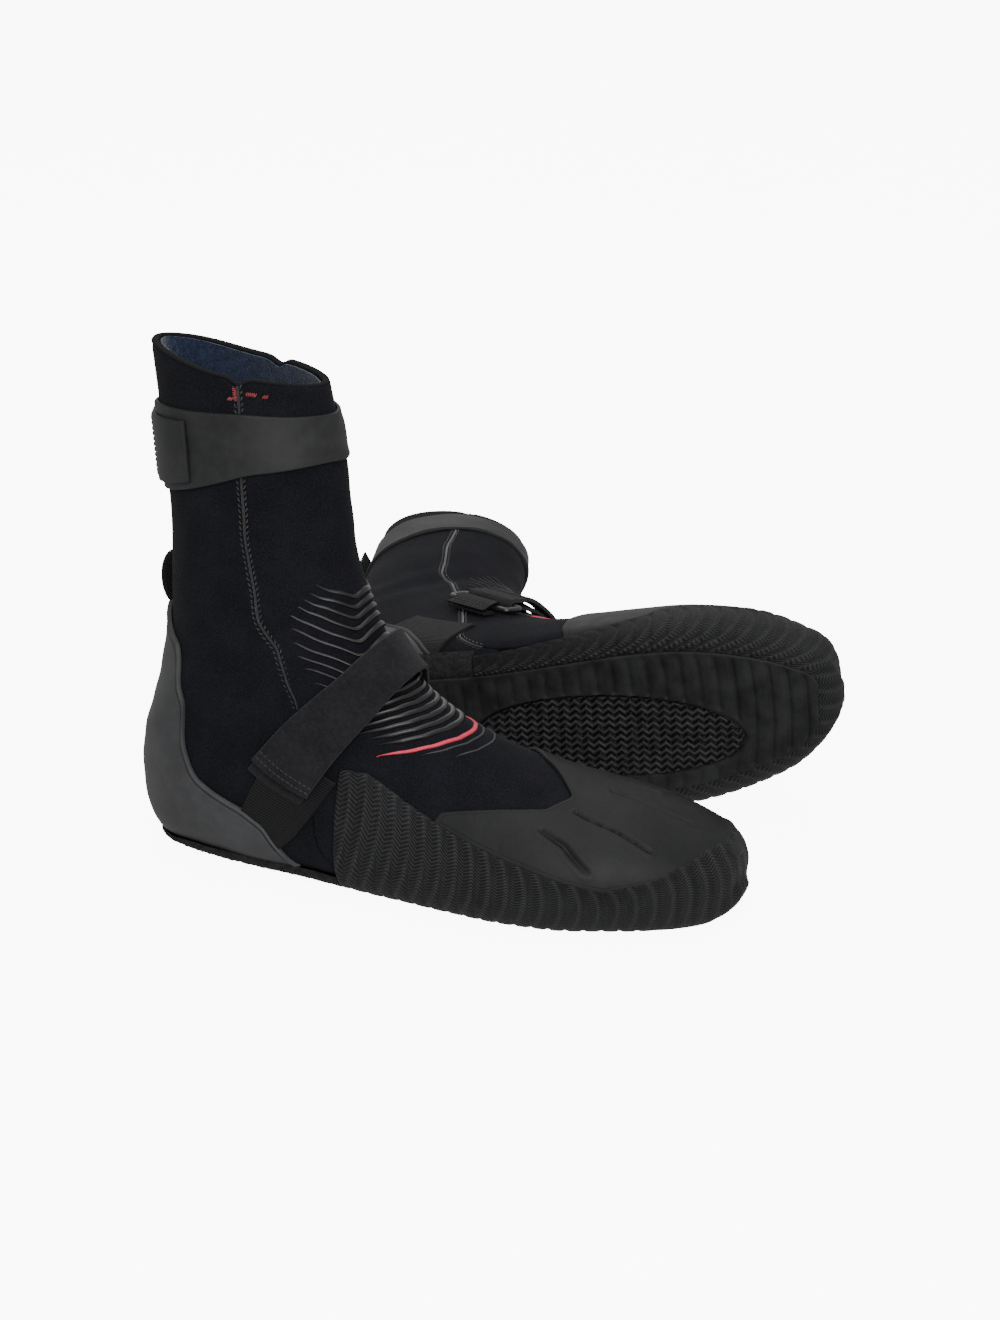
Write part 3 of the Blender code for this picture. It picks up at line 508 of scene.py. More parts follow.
WRAP_OUT = ([1.9, 2.6, 3.4, 4.2, 4.8, 5.5, 6.1, 6.8, 7.9, 8.4, 9.1, 15],
            [165, 129, 108, 99, 104, 111, 115, 118, 122, 123, 122, 118])
WRAP_IN = ([1.9, 2.6, 3.4, 4.2, 4.8, 5.5, 6.2, 6.8, 7.5, 8.3, 15],
           [195, 231, 250, 258, 258, 265, 283, 300, 316, 330, 330])
k_out, z_out = edge_heights(WRAP_OUT)
k_in, z_in = edge_heights(WRAP_IN)
tip_k = int(np.argmax(line[:, 0]))
order = np.argsort(np.concatenate([k_out, k_in]))
known_k, known_z = np.concatenate([k_out, k_in])[order], np.concatenate([z_out, z_in])[order]
front = np.flatnonzero(line[:, 0] > ARCH)
top_z = eased(np.interp(front, known_k, known_z), 12)
top_z = np.minimum(top_z, 64) + 3.4 * np.exp(-((run[front] - run[tip_k]) / 55) ** 4)
RIB_PITCH = 8.6
FLOOR_GAP = .35


def wall_grid(ks, low, high, rows):
    """Points and normals of the rubber's outer face between two heights at outline places ks."""
    s = crowded(rows, .5)
    p, n = np.zeros((rows, len(ks), 3)), np.zeros((rows, len(ks), 3))
    for j, k in enumerate(ks):
        for i in range(rows):
            p[i, j], n[i, j] = wall(k, low[j] + (high[j] - low[j]) * s[i])
    for _ in range(2):
        n[:, 1:-1] = (n[:, :-2] + 2 * n[:, 1:-1] + n[:, 2:]) / 4
        n[1:-1] = (n[:-2] + 2 * n[1:-1] + n[2:]) / 4
    return p, unit(n)


# The side rubber's colour carries a painted highlight on its rib crests, besides the herringbone, grime and
# specks.
ribbed = Finish("ribbed_rubber", Specular_IOR_Level=.20)
(across, up), edge = ribbed.along(), ribbed.from_edge()
wander, grime, speck = ribbed.clouds((9.0, 2.0), (12.0, 4.0), (.8, 2.0))
teeth = ((up + across.zigzag(RIB_PITCH / 2) * .5 + wander * 1.2) * (2 * math.pi / 1.5)).sine() * .5 + .5
# Painted highlight: the crest of each side rib is coloured lighter, leaving the gaps between ribs darker as
# painted shade.
ridge = (((across / RIB_PITCH + .5) * math.pi).sine() ** 2.0).step(.70, .98)
grime_and_rib_highlight = (teeth * .45 + grime * .42 + speck * .15 + ridge * .25).step(.3, .95)
RIBBED = ribbed.wear(ribbed.blend(grime_and_rib_highlight, (.0030, .0030, .0034), (.0225, .0229, .0245)), .48 + grime * .28,
                     teeth * (edge * .5).least(1.0) * .8 + speck * .25 + grime * .45, .45)

p, n = wall_grid(front, 0 * front + FLOOR_GAP, top_z, 26)
travel = run[front] - run[tip_k]
u = travel[None, :] + 0 * p[..., 0]
tip_calm = 1 - .65 * np.exp(-(u / 42) ** 2)
rib = 1 - np.abs(np.cos(np.pi * u / RIB_PITCH)) ** 9
rise = np.linspace(0, 1, 26)[:, None]
uneven = .16 * np.sin(u / 17.0 + 4 * rise) + .1 * np.sin(u / 5.3 + 9 * rise)
lip = .9 * np.exp(-((p[-1:, :, 2] - p[..., 2] - 1.6) / 1.7) ** 2) * np.exp(-(u / 95) ** 2)
top = -.60 + .60 * rib * tip_calm * smooth(rise / .12) * smooth((1 - rise) / .06) + uneven * .6 + lip
fit("side_rubber", thick(p, n, top, -1.7, 1.5, edge=.45), RIBBED, stands_for=["sole"])
floor_front = p[0]

rough = Finish("rough_rubber", Specular_IOR_Level=.15)
lump, speck = rough.clouds((2.6, 4.0, .65), (.7, 2.0))
tone = rough.blend((lump * .7 + speck * .3).step(.3, .7), (.0050, .0050, .0056), (.020, .020, .021))
ROUGH = rough.wear(tone, .75 + speck * .2, lump + speck * .4, .8)
last, first = int(front[-1]), int(front[0])
rear = np.array([k % (len(line) - 1) for k in range(last, first + len(line))])[::2]
rng = np.random.default_rng(11)
jag = np.convolve(rng.normal(0, 1, len(rear) + 8), np.ones(9) / 9, "valid")
RIM_HEIGHT = 9.4
p, n = wall_grid(rear, 0 * rear + FLOOR_GAP, RIM_HEIGHT + .8 * jag, 11)
bulge = .35 * np.interp(np.linspace(0, 1, 11), [0, .5, 1], [0, 1, .2])[:, None]
lumps = rng.normal(0, .16, p.shape[:2]) + bulge
fit("heel_rim", thick(p, n, lumps - .5, -1.8, .9), ROUGH, stands_for=["sole"])
floor_rear = p[0]

ring = np.concatenate([floor_front, floor_rear])
TREAD_C, TREAD_R = (176.0, -8.0), (68.0, 22.0)
heel_x, toe_x = ring[:, 0].min() + .4, ring[:, 0].max() - .4
xs = heel_x + (toe_x - heel_x) * crowded(330, .55)


def limit(x, pick):
    """The sole's outline at each x, on the side that pick chooses."""
    close = [ring[np.abs(ring[:, 0] - q) < 1.6, 1] for q in x]
    b = np.array([pick(y) if len(y) else np.nan for y in close])
    ok = ~np.isnan(b)
    return np.interp(x, x[ok], b[ok])


def facing_down(x, y):
    """Points on the floor plane, with directions that point down."""
    p = np.stack([x, y, 0 * x], -1)
    down = np.zeros_like(p)
    down[..., 2] = -1
    return p, down


low_y, high_y = limit(xs, np.min), limit(xs, np.max)
t = crowded(84, .3)
x, y = xs[:, None] + 0 * t, low_y[:, None] + (high_y - low_y)[:, None] * t
oval = np.hypot((x - TREAD_C[0]) / TREAD_R[0], (y - TREAD_C[1]) / TREAD_R[1])
margin = np.minimum(np.minimum(t, 1 - t)[None, :] * (high_y - low_y)[:, None],
                    np.minimum(x - heel_x, toe_x - x))
groove = 1.15 * np.abs(np.cos(np.pi * (x + .0025 * (y - 3) ** 2) / RIB_PITCH)) ** 7 * smooth(margin / 4)
groove *= smooth((oval - 1.03) / .07) * (1 - .6 * smooth((100 - x) / 30) * (1 - smooth((20 - x) / 20)))
well = 1.7 * (1 - smooth((oval - .995) / .035))
wave = .05 + groove + well + .1 * (1 - smooth(margin / 1.2))
plain = Finish("sole_rubber", Specular_IOR_Level=.18)
grime, speck = plain.clouds((11.0, 4.0), (.7, 2.0))
tone = plain.blend((grime * .8 + speck * .2).step(.3, .7), (.0050, .0050, .0056), (.0165, .0168, .0180))
PLAIN = plain.wear(tone, .5 + grime * .25, grime + speck * .4, .25)
fit("outsole", thick(*facing_down(x, y), -wave, -2.6, .8, edge=.85), PLAIN,
    stands_for=["sole"])

# ---- tread of the forefoot ---------------------------------------------------
# An oval of deep herringbone lugs is moulded flush into the underside below the ball of the foot,
# in the sole's own rubber left a little glossier, with the valleys between the lugs painted near black as
# shade.
lug = Finish("lug_rubber_shaded_valleys", Specular_IOR_Level=.25)
height = lug.from_edge()
grime, speck = lug.clouds((7.0, 3.0), (.6, 2.0))
tone = lug.blend(grime.step(.3, .7), (.0110, .0110, .0122), (.0260, .0265, .0285))
# Painted shade: the valleys between the lugs, where the crest share is low, are coloured near black.
tone = lug.blend(height.step(.35, .9), (.0004, .0004, .0005), tone)
LUG_SHADED_VALLEYS = lug.wear(tone, .44 + grime * .2, speck + grime, .15)
q, w = np.linspace(-1, 1, 330)[:, None], np.linspace(-1, 1, 130)[None, :]
x, y = q * np.sqrt(1 - w ** 2 / 2), w * np.sqrt(1 - q ** 2 / 2)
far = np.hypot(x, y)
x, y = TREAD_C[0] + x * TREAD_R[0], TREAD_C[1] + y * TREAD_R[1]
LUG_LENGTH, LUG_SWING, LUG_PITCH, LUG_DEPTH = 5.6, 2.3, 3.7, 1.3
zig = np.abs((x / LUG_LENGTH) % 1 - .5) * 2
crest = smooth((.5 + .5 * np.cos(2 * np.pi * (y + LUG_SWING * zig) / LUG_PITCH) - .22) / .5)
raised = crest * smooth((1 - far) / .03)
lugs = .03 + LUG_DEPTH * (1 - raised)
verts, faces, uv = thick(*facing_down(x, y), -lugs, -1.6, .5, edge=.8)
# The crest share goes into edge_mm, where the lug finish paints the valleys near black as shade.
uv[:, 2] = np.tile(raised.ravel(), 2)
fit("forefoot_tread", (verts, faces, uv), LUG_SHADED_VALLEYS, stands_for=["forefoot_tread"])

# ---- toe cap -----------------------------------------------------------------
# A smooth satin rubber sheet is glued over the toes, tucked under the sole's lip, and its four short
# slots let it flex over the knuckles. The slots are painted near black as shade.
# Distance from the edge, in millimetres, of the heel counter's moulded line; satin rubber marked at it, and
# the toe cap's slots, is painted near black as shade.
SHADE_LINE_MM = 2.7


def satin_rubber(name, low, high):
    """Satin rubber, painted near black as shade where a point is marked at the shade line's distance from the
    edge.
    """
    satin = Finish(name, Specular_IOR_Level=.22)
    edge = satin.from_edge()
    cloud, haze, grain = satin.clouds((30.0, 3.0), (6.0, 4.0), (.45, 2.0))
    tone = satin.blend((cloud * .6 + haze * .4).step(.3, .72), low, high)
    # Painted shade: near black where a point is marked at the shade line, in the counter's moulded line and
    # the toe cap's slots.
    tone = satin.blend((1 - (abs(edge - SHADE_LINE_MM) * 1.9).least(1.0)) * .85, tone, (.002, .002, .0023))
    return satin.wear(tone, .46 + haze * .22, haze * .8 + grain * .12, .3)


VAMP = ([90, 123, 138, 148, 163, 176, 190, 212, 237, 262, 290, 340],
        [7.3, 7.1, 6.2, 5.5, 5.2, 5.6, 6.1, 6.5, 6.9, 7.2, 7.0, 6.9])
SLOTS = [([5.4, 4.95, 4.5], [134, 128, 112], 1.25), ([5.0, 4.3, 3.6], [152, 145, 134], .8),
         ([4.7, 3.9, 3.1], [177, 175.5, 172], .75), ([4.8, 4.1], [192, 194], .7)]
t = crowded(230, .5)
scan = np.linspace(2.0, 9.0, 700)
low, high = np.interp(scan, *WRAP_OUT) - 3, np.interp(scan, *WRAP_IN) + 3
top_row = []
for share in t:
    a = low + (high - low) * share
    past = np.flatnonzero(scan > np.interp(a, *VAMP))
    top_row.append(scan[past[0]] if len(past) else 7.0)
top_row = eased(top_row, 4)
CAP_START = .95
r = CAP_START + (top_row - CAP_START)[None, :] * crowded(200, .5)[:, None]
a = np.interp(r, *WRAP_OUT) - 3
a = a + (np.interp(r, *WRAP_IN) + 3 - a) * t[None, :]
p, n = surface(r, a), normal(r, a)


def near(points, path):
    """Distance from each point to a path, and the share along it of the nearest place."""
    path, _ = evenly(path, .4)
    d = np.full(points.shape[:2], 1e9)
    where = np.zeros(points.shape[:2])
    for k, q in enumerate(path):
        e = np.linalg.norm(points - q, axis=-1)
        where = np.where(e < d, k / (len(path) - 1), where)
        d = np.minimum(d, e)
    return d, where


carve, slot_shade_mask = 0 * r, 0 * r
for rows, angles, width in SLOTS:
    s, marks = np.linspace(0, 1, 30), np.linspace(0, 1, len(rows))
    path = surface(np.interp(s, marks, rows), np.interp(s, marks, angles))
    d, share = near(p, path)
    fade = .55 + .45 * np.sin(np.pi * np.clip(share, .05, .95))
    # Mask of the slots, which are painted near black as shade.
    slot_shade_mask = np.maximum(slot_shade_mask, (d < .75 * width) * 1.0)
    carve += -1.7 * np.exp(-(d / width) ** 2) * fade + .22 * np.exp(-((d - 2.4 * width) / width) ** 2)
soft = .14 * np.sin(p[..., 0] / 9 + np.sin(p[..., 1] / 12)) + .1 * np.sin(p[..., 1] / 7 + p[..., 0] / 15)
verts, faces, uv = thick(p, n, RUBBER - .1 + carve + soft, .45, 1.6)
# The slot points are marked at the shade line so that their colour is painted near black as shade.
uv[:r.size, 2] = np.where(slot_shade_mask.ravel() > 0, SHADE_LINE_MM, uv[:r.size, 2])
fit("toe_cap", (verts, faces, uv), satin_rubber("cap_rubber", (.0060, .0061, .0066), (.0120, .0122, .0130)),
    stands_for=["toe_cap"])

# ---- heel counter ------------------------------------------------------------
# The same satin rubber is bonded round the heel up to a tongue behind the ankle, coloured lighter than on the
# toe cap as painted light. Its edge is a thin raised bead with a moulded line just inside it, painted near
# black as shade.
COUNTER_ROWS = [9.0, 9.4, 9.8, 10.4, 11.7, 12.6, 13.4, 14.6, 16.4, 17.1, 17.4]
COUNTER_HALF = [52, 74, 86, 88, 84, 79, 75, 74, 52, 28, 10]
r = 9.0 + 8.4 * crowded(126, .6)[:, None]
half = np.interp(r, COUNTER_ROWS, COUNTER_HALF)
half = eased(half[:, 0], 6)[:, None]
a = half * (2 * crowded(130, .7)[None, :] - 1)
r = r + 0 * a
p, n = surface(r, a), normal(r, a)
u, v, _ = lengths(p)
e = np.minimum(np.minimum(u, u[:, -1:] - u), np.minimum(v + 6, v[-1:] - v))
# The moulded line sits at the shade line, where the satin rubber is painted near black as shade.
bead = .45 * np.exp(-((e - 1.1) / .7) ** 2) - .45 * np.exp(-((e - SHADE_LINE_MM) / .55) ** 2)
ripple = .16 * np.sin(p[..., 2] / 3.1 + 2 * np.sin(p[..., 0] / 14)) * smooth((e - 3) / 8)
ripple = ripple + .18 * np.sin(p[..., 0] / 8)
# Painted light: the counter's colours are set several times lighter than the toe cap's, though both are the
# same satin rubber.
fit("heel_counter", thick(p, n, RUBBER + bead + ripple, .45, 1.2),
    satin_rubber("counter_rubber_painted_lighter", (.0285, .0288, .0302), (.0480, .0485, .0510)),
    stands_for=["heel_counter"])

# ---- flex ribs over the instep -----------------------------------------------
# Glossy black rubber ribs are printed on the knit in nested chevrons that point at the toes, so that the
# instep can bend. A red chevron and two thin grey ones end the lower set.
gloss = Finish("glossy_print", Specular_IOR_Level=.42)
grime = gloss.noise(gloss.spot(), 5.0, 3.0)
tone = gloss.blend(grime, (.0020, .0020, .0023), (.0060, .0060, .0068))
GLOSS = gloss.wear(tone, .24 + grime * .2, grime, .12)


def row_length(row, a):
    """Millimetres that one row spans at angle a."""
    return np.linalg.norm(surface(row + .05, a) - surface(row - .05, a), axis=-1) / .1


def chevron(crest_row, end_row, level, reach, width, height, cols=75):
    """One rib bent over the instep: level on the ridge, then rising to thin ends at reach degrees."""
    t = np.linspace(-1, 1, cols)[None, :]
    half = reach * t
    row = crest_row + (end_row - crest_row) * np.clip((np.abs(half) - level) / (reach - level), 0, 1) ** 1.12
    row = eased(row[0], 4)[None, :]
    taper = np.clip(1 - np.abs(t), 0, 1) ** .55
    s = np.linspace(-1, 1, 7)[:, None]
    r = row + s * width / 2 / row_length(row, 180 + half) * (.2 + .8 * taper)
    crown = (1 - (s + .45) ** 2 / 2.1) * height * (.25 + .75 * taper)
    return laid(r, 180 + half, .1 + crown + 0 * r, -.15, .35)


UPPER_END = [(14.77, 38), (14.68, 42), (14.6, 45), (14.5, 48), (14.42, 52), (13.82, 51.5), (13.15, 51),
             (12.53, 50), (11.95, 49), (11.33, 49)]
upper = [chevron(max(12.42 - .41 * k, 11.3 - .235 * k), end_row, 12.5 + 2.1 * k, reach, 3.1, 1.15)
         for k, (end_row, reach) in enumerate(UPPER_END)]
fit("upper_flex_ribs", joined(*upper), GLOSS, stands_for=["upper_flex_pad"])
CHEVRON_HALF, CHEVRON_ROW = [0, 5, 14, 27, 38, 48, 62], [7.36, 7.38, 7.46, 7.74, 8.10, 8.55, 9.25]


def contour(lift, reach, width, height, crown=0.0):
    """Printed line along the red chevron, lift rows towards the toe."""
    half = np.linspace(-reach, reach, 91)[None, :]
    row = np.interp(np.abs(half), CHEVRON_HALF, CHEVRON_ROW)
    row = eased(row[0], 3)[None, :] - lift
    taper = np.clip((1 - np.abs(half) / reach) * 6, .2, 1)
    s = np.linspace(-1, 1, 7)[:, None]
    r = row + s * width * taper / 2 / row_length(row, 180 + half)
    return laid(r, 180 + half, height + crown * (1 - s ** 2) * taper, -.15, .3)


lower = [contour(-.30 - .205 * k, 45 + 2.2 * k, 3.5, .25, .85) for k in range(8)]
fit("lower_flex_ribs", joined(*lower), GLOSS, stands_for=["lower_flex_pad"])

red = Finish("red_print", Specular_IOR_Level=.45)
mottle = red.noise(red.spot(), 1.5, 3.0)
RED = red.wear(red.blend(mottle, (.42, .018, .045), (.66, .050, .085)), .42 + mottle * .15, mottle, .08)
fit("red_chevron", contour(0, 50, 2.3, .55), RED, stands_for=["chevron_trim"])
grey = Finish("grey_print", Specular_IOR_Level=.4)
GREY = grey.wear(grey.blend(grey.noise(grey.spot(), 2.0), (.012, .0124, .0134), (.034, .035, .038)), .5)
fit("grey_chevrons", joined(contour(.17, 36, 1.2, .4), contour(.40, 26, 1.1, .4)), GREY)

# ---- side seams --------------------------------------------------------------
# The panels are glued and blind-stitched, with a light cover thread down the joint and slanted stitches
# either side. Red bar tacks hold the seam's top against tearing.


def spun(name, low, high, roughness, specular):
    """Sewing thread in a colour between low and high."""
    thread = Finish(name, Sheen_Weight=.3, Specular_IOR_Level=specular)
    strand = thread.noise(thread.spot(), .5, 2.0)
    return thread.wear(thread.blend(strand, low, high), roughness, strand, .1)


THREAD = spun("grey_thread", (.007, .0072, .0082), (.022, .0224, .0243), .85, .25)
DARK = spun("black_thread", (.0025, .0025, .003), (.008, .008, .009), .8, .3)
SCARLET = spun("red_thread", (.16, .007, .011), (.36, .020, .028), .75, .3)


def stitches(points, normals, across, pitch, length, radius, slant=0.0, lift=.0, jitter=0.0, seed=5):
    """A row of short raised stitches along a line of points; slant turns each about its normal."""
    data, _ = evenly(np.concatenate([points, normals, across], 1), .25)
    d = running(data[:, :3])
    rng, parts = np.random.default_rng(seed), []
    for s in np.arange(pitch / 2, d[-1], pitch):
        q = np.array([np.interp(s, d, data[:, k]) for k in range(9)])
        ahead = np.array([np.interp(s + .3, d, data[:, k]) for k in range(3)]) - q[:3]
        if np.linalg.norm(ahead) < 1e-6:
            continue
        ahead, n = ahead / np.linalg.norm(ahead), q[3:6] / np.linalg.norm(q[3:6])
        side = np.cross(n, ahead)
        turn = slant + rng.normal(0, jitter)
        way = ahead * math.cos(turn) + side * math.sin(turn)
        side = np.cross(n, way)
        ring = []
        for t, w in ((-.5, .25), (-.32, .9), (0, 1.0), (.32, .9), (.5, .25)):
            c = q[:3] + way * length * t + n * (lift + radius * (.5 - 1.6 * t * t))
            ring.append([c + side * radius * w * math.cos(x) + n * radius * w * math.sin(x)
                         for x in np.radians([0, 72, 144, 216, 288])])
        v = np.array(ring).reshape(-1, 3)
        f = [(5 * i + k, 5 * i + (k + 1) % 5, 5 * i + 5 + (k + 1) % 5, 5 * i + 5 + k)
             for i in range(4) for k in range(5)] + [(4, 3, 2, 1, 0), (20, 21, 22, 23, 24)]
        parts.append((v, f, np.zeros((25, 3))))
    return joined(*parts)


def seam_line(rows, sign, aside=0.0, depth=0.0):
    """Points, normals and sideways directions on the joint, moved aside by millimetres."""
    r = np.arange(rows[0], rows[1], .03)
    a = sign * seam(r)
    p, n = surface(r, a), normal(r, a)
    along = np.gradient(p, axis=0)
    side = np.cross(n, unit(along))
    return p + side * aside + n * depth, n, side


for sign, name in ((1, "lateral_seam"), (-1, "medial_seam")):
    start = 10.9 if sign > 0 else 8.3
    p, n, side = seam_line((start, 20.86), sign)
    s = np.linspace(-1, 1, 5)[None, :, None]
    cover = thick(p[:, None] + side[:, None] * s * .55, n[:, None] + 0 * s, .30, -.6, .4)
    fit(name + "_thread", cover, THREAD, stands_for=[name])
    rows = [stitches(*seam_line((start, 20.86), sign, aside, .02), 2.7, 2.0, .30, slant, 0, .14, 7)
            for aside, slant in ((1.7, .5), (-1.7, -.5))]
    fit(name + "_stitches", joined(*rows), THREAD)

tacks = []
for half, row_top, count in ((98.5, 20.62, 5), (112, 20.72, 9), (121, 20.70, 5)):
    r = np.full(count * 4, row_top)
    width = .38 * count
    a = half + np.linspace(-width, width, count * 4)
    p, n = surface(r, a), normal(r, a)
    tacks.append(stitches(p, n, n, .85, 1.9, .3, 1.35, .05, .2, 3 + count))
r = np.linspace(20.60, 20.80, 20)
p, n = surface(r, 101.5 + 0 * r), normal(r, 101.5 + 0 * r)
tacks.append(stitches(p, n, n, .85, 2.0, .3, 1.4, .05, .2, 9))
fit("bar_tacks", joined(*tacks), SCARLET, stands_for=["bar_tack"])

# ---- cuff band and its tab ---------------------------------------------------
# A soft band of smooth-skinned grey rubber seals the cuff. Its loose end wraps the heel side and is held
# by hook tape; a box with a cross is sewn through the end.
skin = Finish("skin_rubber", Specular_IOR_Level=.18)
edge = skin.from_edge()
cloud, crease, grain = skin.clouds((22.0, 3.0), (4.0, 3.0), (.4, 2.0))
tone = skin.blend((cloud * .7 + crease * .3).step(.3, .7), (.0135, .0137, .0143), (.0235, .0238, .0250))
tone = skin.blend(1 - edge.step(.2, .9), tone, (.010, .010, .011))
SKIN = skin.wear(tone, .50 + crease * .14, crease * .5 + grain * .2, .3)
BAND_TOP = 2.15
BAND_A = [-180, -106, 0, 106, 180]
BAND_LO, BAND_HI = [18.2, 19.1, 19.35, 19.1, 18.2], [20.15, 20.4, 20.4, 20.4, 20.15]
a = np.linspace(-180, 180, 289)[None, :]
lo, hi = np.interp(a, BAND_A, BAND_LO), np.interp(a, BAND_A, BAND_HI)
lo, hi = eased(lo[0, :-1], 12, "wrap"), eased(hi[0, :-1], 12, "wrap")
lo, hi = np.append(lo, lo[0])[None, :], np.append(hi, hi[0])[None, :]
r = lo + (hi - lo) * crowded(34, .7)[:, None]
a = a + 0 * r
wrinkle = .16 * np.sin(np.radians(a) * 9 + 2.2 * np.sin(r * 3)) + .12 * np.sin(np.radians(a) * 5 + r * 4)
fit("cuff_band", laid(r, a, BAND_TOP + wrinkle, .45, 1.2, True), SKIN, stands_for=["cinch_band"])

a0 = np.linspace(66, 14, 40)
low_r, top_r = np.interp(a0, BAND_A, BAND_LO) + .12, np.interp(a0, BAND_A, BAND_HI) - .12
low, top = (surface(q, a0) + normal(q, a0) * 2.65 for q in (low_r, top_r))
away = (low[-1] - low[-3]) + (top[-1] - top[-3])
away /= np.linalg.norm(away)
steps = np.linspace(.8, 15.0, 16)[:, None]
low, top = np.vstack([low, low[-1] + away * steps]), np.vstack([top, top[-1] + away * steps])
s = crowded(30, .6)[None, :, None]
tab = low[:, None] + (top - low)[:, None] * s
nn = unit(np.cross(np.gradient(tab, axis=0), np.gradient(tab, axis=1)))
nn *= np.sign((nn[10, 15] * normal(19.9, 50.0)).sum())
bow = .5 * np.sin(np.linspace(0, math.pi, 30))[None, :] * smooth(np.linspace(-1, 1, len(tab)))[:, None]
tab = tab + nn * bow[..., None]
TAB = 1.6
fit("cuff_tab", thick(tab, nn, TAB, 0, .7), SKIN, "cuff_tab", ["cinch_tab"])


def on_tab(i, j):
    """Point and normal on the tab's face at fractional grid places."""
    i, j = np.asarray(i, float), np.asarray(j, float)
    i0 = np.clip(i.astype(int), 0, tab.shape[0] - 2)
    j0 = np.clip(j.astype(int), 0, tab.shape[1] - 2)
    f, g = (i - i0)[:, None], (j - j0)[:, None]
    return tuple((q[i0, j0] * (1 - f) * (1 - g) + q[i0 + 1, j0] * f * (1 - g) + q[i0, j0 + 1] * (1 - f) * g
                  + q[i0 + 1, j0 + 1] * f * g) for q in (tab, nn))


box_rows = []
i0, i1, j0, j1 = 36.0, 53.2, 3.5, 25.5
for (ia, ja), (ib, jb) in (((i0, j0), (i1, j0)), ((i1, j0), (i1, j1)), ((i1, j1), (i0, j1)),
                           ((i0, j1), (i0, j0)), ((i0, j0), (i1, j1)), ((i0, j1), (i1, j0))):
    s = np.linspace(0, 1, 40)
    p, n = on_tab(ia + (ib - ia) * s, ja + (jb - ja) * s)
    box_rows.append(stitches(p + n * TAB, n, n, 2.5, 2.3, .42, 0, -.02, .05, 4))
fit("cuff_tab_stitches", joined(*box_rows), DARK, "cuff_tab")

hook = Finish("hook_tape", Specular_IOR_Level=.35)
pins = hook.node("ShaderNodeTexVoronoi", {}, Vector=hook.spot(), Scale=.9)
HOOK = hook.wear(hook.blend(pins.step(.1, .6), (.012, .012, .013), (.003, .003, .0035)), .7, 1 - pins, .5)
refinish(["cinch_hook_patch", "strap_hook_patch"], HOOK)

# ---- pull loop ---------------------------------------------------------------
# A loop of narrow black webbing helps to pull the boot on. It is sewn flat at both ends behind the
# ankle and stands off between them.
web = Finish("black_webbing", Sheen_Weight=.03, Sheen_Roughness=.4, Specular_IOR_Level=.14)
(across, along), edge = web.along(), web.from_edge()
weft = (along * (2 * math.pi / 1.35)).sine() * .5 + .5
warp = (across * (2 * math.pi / 1.1)).sine() * .5 + .5
fuzz = web.noise(web.spot(), .6, 3.0)
piped = 1 - edge.step(1.2, 2.0)
height = weft * (1 - piped) * .8 + warp * .25 + piped * .7 + fuzz * .3
tone = web.blend((weft * .45 + fuzz * .55).step(.25, .85), (.0030, .0030, .0035), (.0145, .0145, .0158))
WEB = web.wear(tone, .62 + fuzz * .2, height, .35)


def bent(path, normals, half, rows=9):
    """Grid along a path (first axis) and across its width (second axis)."""
    s = crowded(rows, .5)[None, :, None] * 2 - 1
    return path[:, None] + half[:, None] * s, normals[:, None] + 0 * s


def fair(points, n):
    """Smooth curve through a few points, evenly read."""
    q = np.asarray(points, float)
    q = np.vstack([2 * q[0] - q[1], q, 2 * q[-1] - q[-2]])
    out = []
    for i in range(len(q) - 3):
        out += [curve(*q[i:i + 4], f) for f in np.linspace(0, 1, 12, endpoint=False)]
    out = np.array(out + [q[-2]])
    d = running(out)
    s = np.linspace(0, d[-1], n)
    return np.stack([np.interp(s, d, out[:, k]) for k in range(out.shape[1])], 1)


prof = [(0.75, 124.0), (2.9, 126.5), (4.8, 131.0), (5.4, 136.5), (4.8, 142.0), (2.9, 146.5), (0.75, 149.0)]
heights, rows = STATION[15:20, 1], np.arange(15, 20)
pts = [surface(np.interp(z, heights, rows), 0.0) + np.array([-d, 0, 0]) for d, z in prof]
path = fair(pts, 50)
g = unit(np.gradient(path, axis=0))
nn = np.stack([-g[:, 2], 0 * g[:, 0], g[:, 0]], 1)
p, n = bent(path, nn, np.tile([0, 6.5, 0], (50, 1)), 13)
fit("pull_loop", thick(p, n, .6, -.6, .45), WEB, stands_for=["pull_loop"])

# ---- anchor webbing ----------------------------------------------------------
# Ribbed webbing with rolled edges comes up from under the sole on both sides of the arch. The outer one
# carries the strap's lower run, the inner one turns round the ring and is doubled back and sewn down.
WEBBING_TOP = 1.85


def anchor(ang, lo, hi):
    """Flat webbing on the boot between rows lo and hi at each angle."""
    r = lo + (hi - lo) * crowded(30, .6)[None, :]
    return laid(r, ang + 0 * r, WEBBING_TOP, .5, .8)


ang = np.linspace(60, 112, 60)[:, None]
lo = np.interp(ang, [60, 80, 95, 112], [9.50, 9.34, 9.18, 9.05])
hi = np.interp(ang, [60, 80, 95, 112], [10.2, 10.34, 10.56, 10.75])
fit("lateral_webbing", anchor(ang, lo, hi), WEB, stands_for=["lateral_webbing"])

RING_ROW, RING_ANGLE = 9.62, 240.0
P0, N0 = surface(RING_ROW, RING_ANGLE), normal(RING_ROW, RING_ANGLE)
T0 = surface(RING_ROW, RING_ANGLE - 3) - surface(RING_ROW, RING_ANGLE + 3)
T0 /= np.linalg.norm(T0)
W0 = np.cross(N0, T0)
W0 *= np.sign((W0 * (surface(RING_ROW + .2, RING_ANGLE) - P0)).sum())
RING_T, RING_N = 5.5, 4.6


def local(t, n, w=0.0):
    """Point by the ring: t towards the instep, n out of the boot, w along the ring."""
    return P0 + T0 * t + N0 * n + W0 * w


